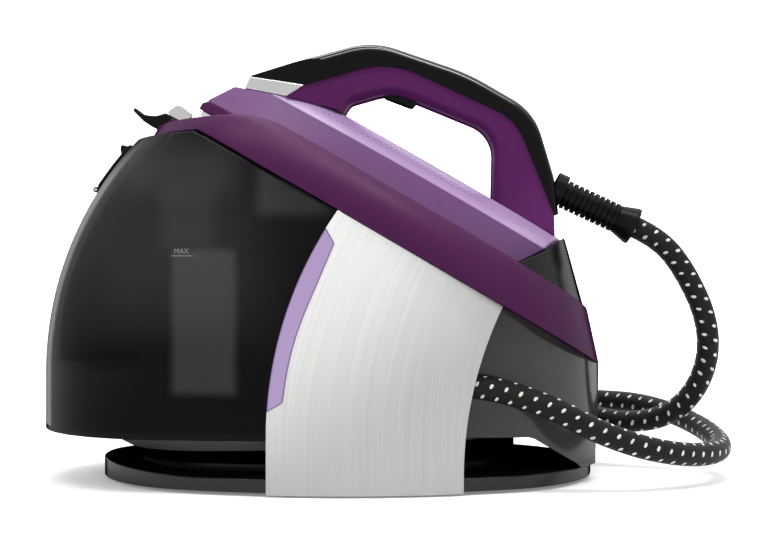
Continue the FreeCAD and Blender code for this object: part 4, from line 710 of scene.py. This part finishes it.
black_gloss = gloss_black()
black_base = foot_black()
pan_gray = grained("pan_gray", (0.07, 0.068, 0.066), 0.2, grain=0, spot=0.05, calm=0.3)
tray_black = grained("tray_black", (0.003, 0.003, 0.0031), 0.2, grain=0.00008, calm=0.14)
housing_gray = grained("housing_gray", (0.034, 0.032, 0.031), 0.13, grain=0, spot=0.05, calm=0.28)
rubber_black = grained("rubber_black", (0.003, 0.003, 0.003), 0.34, scale=900, calm=0.08)
strip_lilac = outlined("strip_lilac", (0.31, 0.225, 0.405), (0.08, 0.03, 0.13), 0.0014)
chrome = satin_chrome()
steel = sole_metal()
panel = panel_metal()
key_gray = grained("key_gray", (0.35, 0.35, 0.37), 0.3, coat=0.3)
lens_blue = grained("lens_blue", (0.05, 0.25, 0.6), 0.15, coat=0.5, grain=0)
pump_white = grained("pump_white", (0.6, 0.6, 0.58), 0.5)
board_green = grained("board_green", (0.02, 0.12, 0.05), 0.4, coat=0.2)

dress(black_base, ("base_tray", 0.0009), ("hose_guide", 0.0005))
dress(pan_gray, ("belly_pan", 0.0006))
dress(rubber_black, ("foot_pads", 0.0003), "rest_pads", ("hose_gland", 0.0005), ("mains_gland", 0.0005),
      "water_inlet", "tank_valve", "hose_strain_relief")
dress(housing_gray, ("boiler_housing", 0.0007), ("drain_cap", 0.0005))
dress(panel, ("side_panel_near", 0.0004, 2), ("side_panel_far", 0.0004, 2))
dress(strip_lilac, ("trim_strip_near", 0.0002, 1), ("trim_strip_far", 0.0002, 1))
dress(smoked_tank(), ("water_tank", 0.0009))
dress(black_gloss, ("tank_lid", 0.0004), "handle_cap", ("steam_trigger", 0.0006), ("lock_lever", 0.0009),
      ("control_fascia", 0.0003))
dress(shell_paint(), ("rest_shell", 0.0011), ("iron_skirt", 0.0006))
dress(tray_black, ("rest_tray", 0.0005), ("heel_stop", 0.0006))
dress(iron_paint(), ("iron_shell", 0.0008))
dress(grip_paint(), "handle_grip")
dress(chrome, ("front_collar", 0.0012), ("lock_hook_cover", 0.0008), "lid_pin", "lock_pin", "trigger_pin",
      "base_screws")
dress(steel, ("soleplate", 0.0004), "steam_chamber", "boiler", "heating_element", "steam_valve")
dress(key_gray, ("power_button", 0.0005), ("eco_button", 0.0005))
dress(lens_blue, "indicator_lens")
dress(pump_white, "water_pump", "microswitch", "water_pipe", "steam_pipe")
dress(board_green, "control_board")


# ---------------------------------------------------------------- fill mark on the tank

# The word starts at MARK_LEFT along X and MARK_LOW up Z. It and its bar are MARK_THICK deep, and their
# middle stands MARK_OUT off the wall.
MARK_THICK = 0.0001
MARK_OUT = 0.4 * MARK_THICK
MARK_LEFT = -0.0935
MARK_LOW = 0.1578
MARK_LETTERS = 0.0046
MARK_BAR = (0.0145, 0.0005, MARK_THICK)
MARK_BAR_PLACE = (0.0055, -0.0016, 0)

# Each point is carried onto the wall from here, in front of the near side.
RAY_START = -0.3


def fill_mark():
    """A printed MAX with a line under it, laid on the near side of the tank."""
    words = bpy.data.curves.new("fill_mark", "FONT")
    words.body = "MAX"
    words.size = MARK_LETTERS
    words.extrude = MARK_THICK / 2
    holder = bpy.data.objects.new("fill_mark_words", words)
    bpy.context.scene.collection.objects.link(holder)
    mesh = bpy.data.meshes.new_from_object(holder)
    bpy.data.objects.remove(holder)
    work = bmesh.new()
    work.from_mesh(mesh)
    bar = bmesh.ops.create_cube(work, size=1.0)["verts"]
    bmesh.ops.scale(work, vec=MARK_BAR, verts=bar)
    bmesh.ops.translate(work, vec=MARK_BAR_PLACE, verts=bar)
    bmesh.ops.triangulate(work, faces=work.faces)
    solid = NODES["water_tank"].data
    tank = BVHTree.FromPolygons([v.co for v in solid.vertices], [p.vertices for p in solid.polygons])
    for vertex in work.verts:
        x, z, lift = MARK_LEFT + vertex.co.x, MARK_LOW + vertex.co.y, vertex.co.z
        hit, _, _, _ = tank.ray_cast(Vector((x, RAY_START, z)), Vector((0, 1, 0)))
        vertex.co = Vector((x, hit.y - MARK_OUT - lift, z))
    bmesh.ops.recalc_face_normals(work, faces=work.faces)
    work.to_mesh(mesh)
    work.free()
    made = bpy.data.objects.new("fill_mark", mesh)
    bpy.context.scene.collection.objects.link(made)
    made.data.materials.append(grained("mark_gray", (0.16, 0.16, 0.16), 0.5, grain=0))
    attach(made, "tank")


fill_mark()


# ---------------------------------------------------------------- stage and light

# The backdrop runs level to CURVE_START, turns up in a quarter circle and ends at its top. Its floor lies
# FLOOR_DROP below the feet, so that the two don't share a plane.
BACKDROP_FRONT = -3.0
BACKDROP_HALF_WIDTH = 4.0
BACKDROP_TOP = 3.5
CURVE_START = 1.6
CURVE_RADIUS = 0.9
CURVE_STEPS = 16
FLOOR_DROP = 0.0003


def stage_mesh(name, vertices, faces):
    """A smooth mesh that belongs to the stage and not to the part."""
    mesh = bpy.data.meshes.new(name)
    mesh.from_pydata(vertices, [], faces)
    for polygon in mesh.polygons:
        polygon.use_smooth = True
    made = bpy.data.objects.new(name, mesh)
    bpy.context.scene.collection.objects.link(made)
    return made


def seen_ray(tree):
    """1 for the camera's own rays and those that metal and glass send on, which show the background."""
    path = node(tree, "ShaderNodeLightPath")
    seen = math_node(tree, "MAXIMUM", path.outputs["Is Camera Ray"], path.outputs["Is Glossy Ray"])
    return math_node(tree, "MAXIMUM", seen, path.outputs["Is Transmission Ray"])


def make_backdrop():
    """A pale floor that runs up into a backdrop in one curve."""
    vertices, faces = [], []
    profile = [(BACKDROP_FRONT, 0.0), (CURVE_START, 0.0)]
    for k in range(1, CURVE_STEPS + 1):
        angle = 0.5 * math.pi * k / CURVE_STEPS
        profile.append((CURVE_START + CURVE_RADIUS * math.sin(angle), CURVE_RADIUS * (1 - math.cos(angle))))
    profile.append((CURVE_START + CURVE_RADIUS, BACKDROP_TOP))
    for y, z in profile:
        vertices += [(side * BACKDROP_HALF_WIDTH, y, z - FLOOR_DROP) for side in (-1, 1)]
    for k in range(len(profile) - 1):
        faces.append((2 * k, 2 * k + 1, 2 * k + 3, 2 * k + 2))
    made = stage_mesh("backdrop", vertices, faces)
    pale, tree, shader = material("pale_floor", (0.9, 0.9, 0.9), 0.7, Specular_IOR_Level=0.2)
    shader.inputs["Emission Color"].default_value = (1, 1, 1, 1)
    x, y, _ = frame_axes(tree)
    spot = node(tree, "ShaderNodeCombineXYZ")
    link(tree, x, spot.inputs["X"])
    link(tree, y, spot.inputs["Y"])
    away = node(tree, "ShaderNodeVectorMath", operation="LENGTH")
    link(tree, spot.outputs[0], away.inputs[0])
    # The lamps light the floor near the object, and glow makes up for them farther away.
    glow = math_node(tree, "MULTIPLY_ADD", step_up(tree, away.outputs["Value"], 0.5, 1.8), 0.8, 0.2)
    link(tree, math_node(tree, "MULTIPLY", seen_ray(tree), glow), shader.inputs["Emission Strength"])
    made.data.materials.append(pale)


def soft_light(name, spot, target, size, power, mirrored=True):
    """An area lamp that is (wide, high) in metres. mirrored says whether gloss shows it."""
    lamp = bpy.data.lights.new(name, "AREA")
    lamp.energy = power
    lamp.shape = "RECTANGLE"
    lamp.size, lamp.size_y = size
    made = bpy.data.objects.new(name, lamp)
    made.location = spot
    made.rotation_euler = (Vector(target) - Vector(spot)).to_track_quat("-Z", "Y").to_euler()
    made.visible_glossy = mirrored
    bpy.context.scene.collection.objects.link(made)


make_backdrop()
soft_light("cap_light", (0.05, -0.4, 1.3), (0, 0, 0.2), (1.6, 0.12), 11)
soft_light("roof_light", (0.1, 0.1, 1.3), (0, 0, 0.2), (1.6, 0.12), 8)
soft_light("left_light", (-1.3, -0.9, 0.9), (0, 0, 0.15), (0.9, 1.2), 12, mirrored=False)
soft_light("right_light", (1.5, -0.7, 0.7), (0, 0, 0.15), (0.6, 1.2), 6, mirrored=False)
soft_light("back_light", (0, 1.2, 1.6), (0, 1.8, 0.6), (2.2, 2.2), 24)

world = bpy.data.worlds.new("studio")
bpy.context.scene.world = world
world.use_nodes = True
world.node_tree.nodes["Background"].inputs["Color"].default_value = (1, 1, 1, 1)
# The world is seen white, and lights the object at half that strength.
sky = math_node(world.node_tree, "MULTIPLY_ADD", seen_ray(world.node_tree), 0.5, 0.5)
link(world.node_tree, sky, world.node_tree.nodes["Background"].inputs["Strength"])
bpy.context.scene.view_settings.view_transform = "Standard"
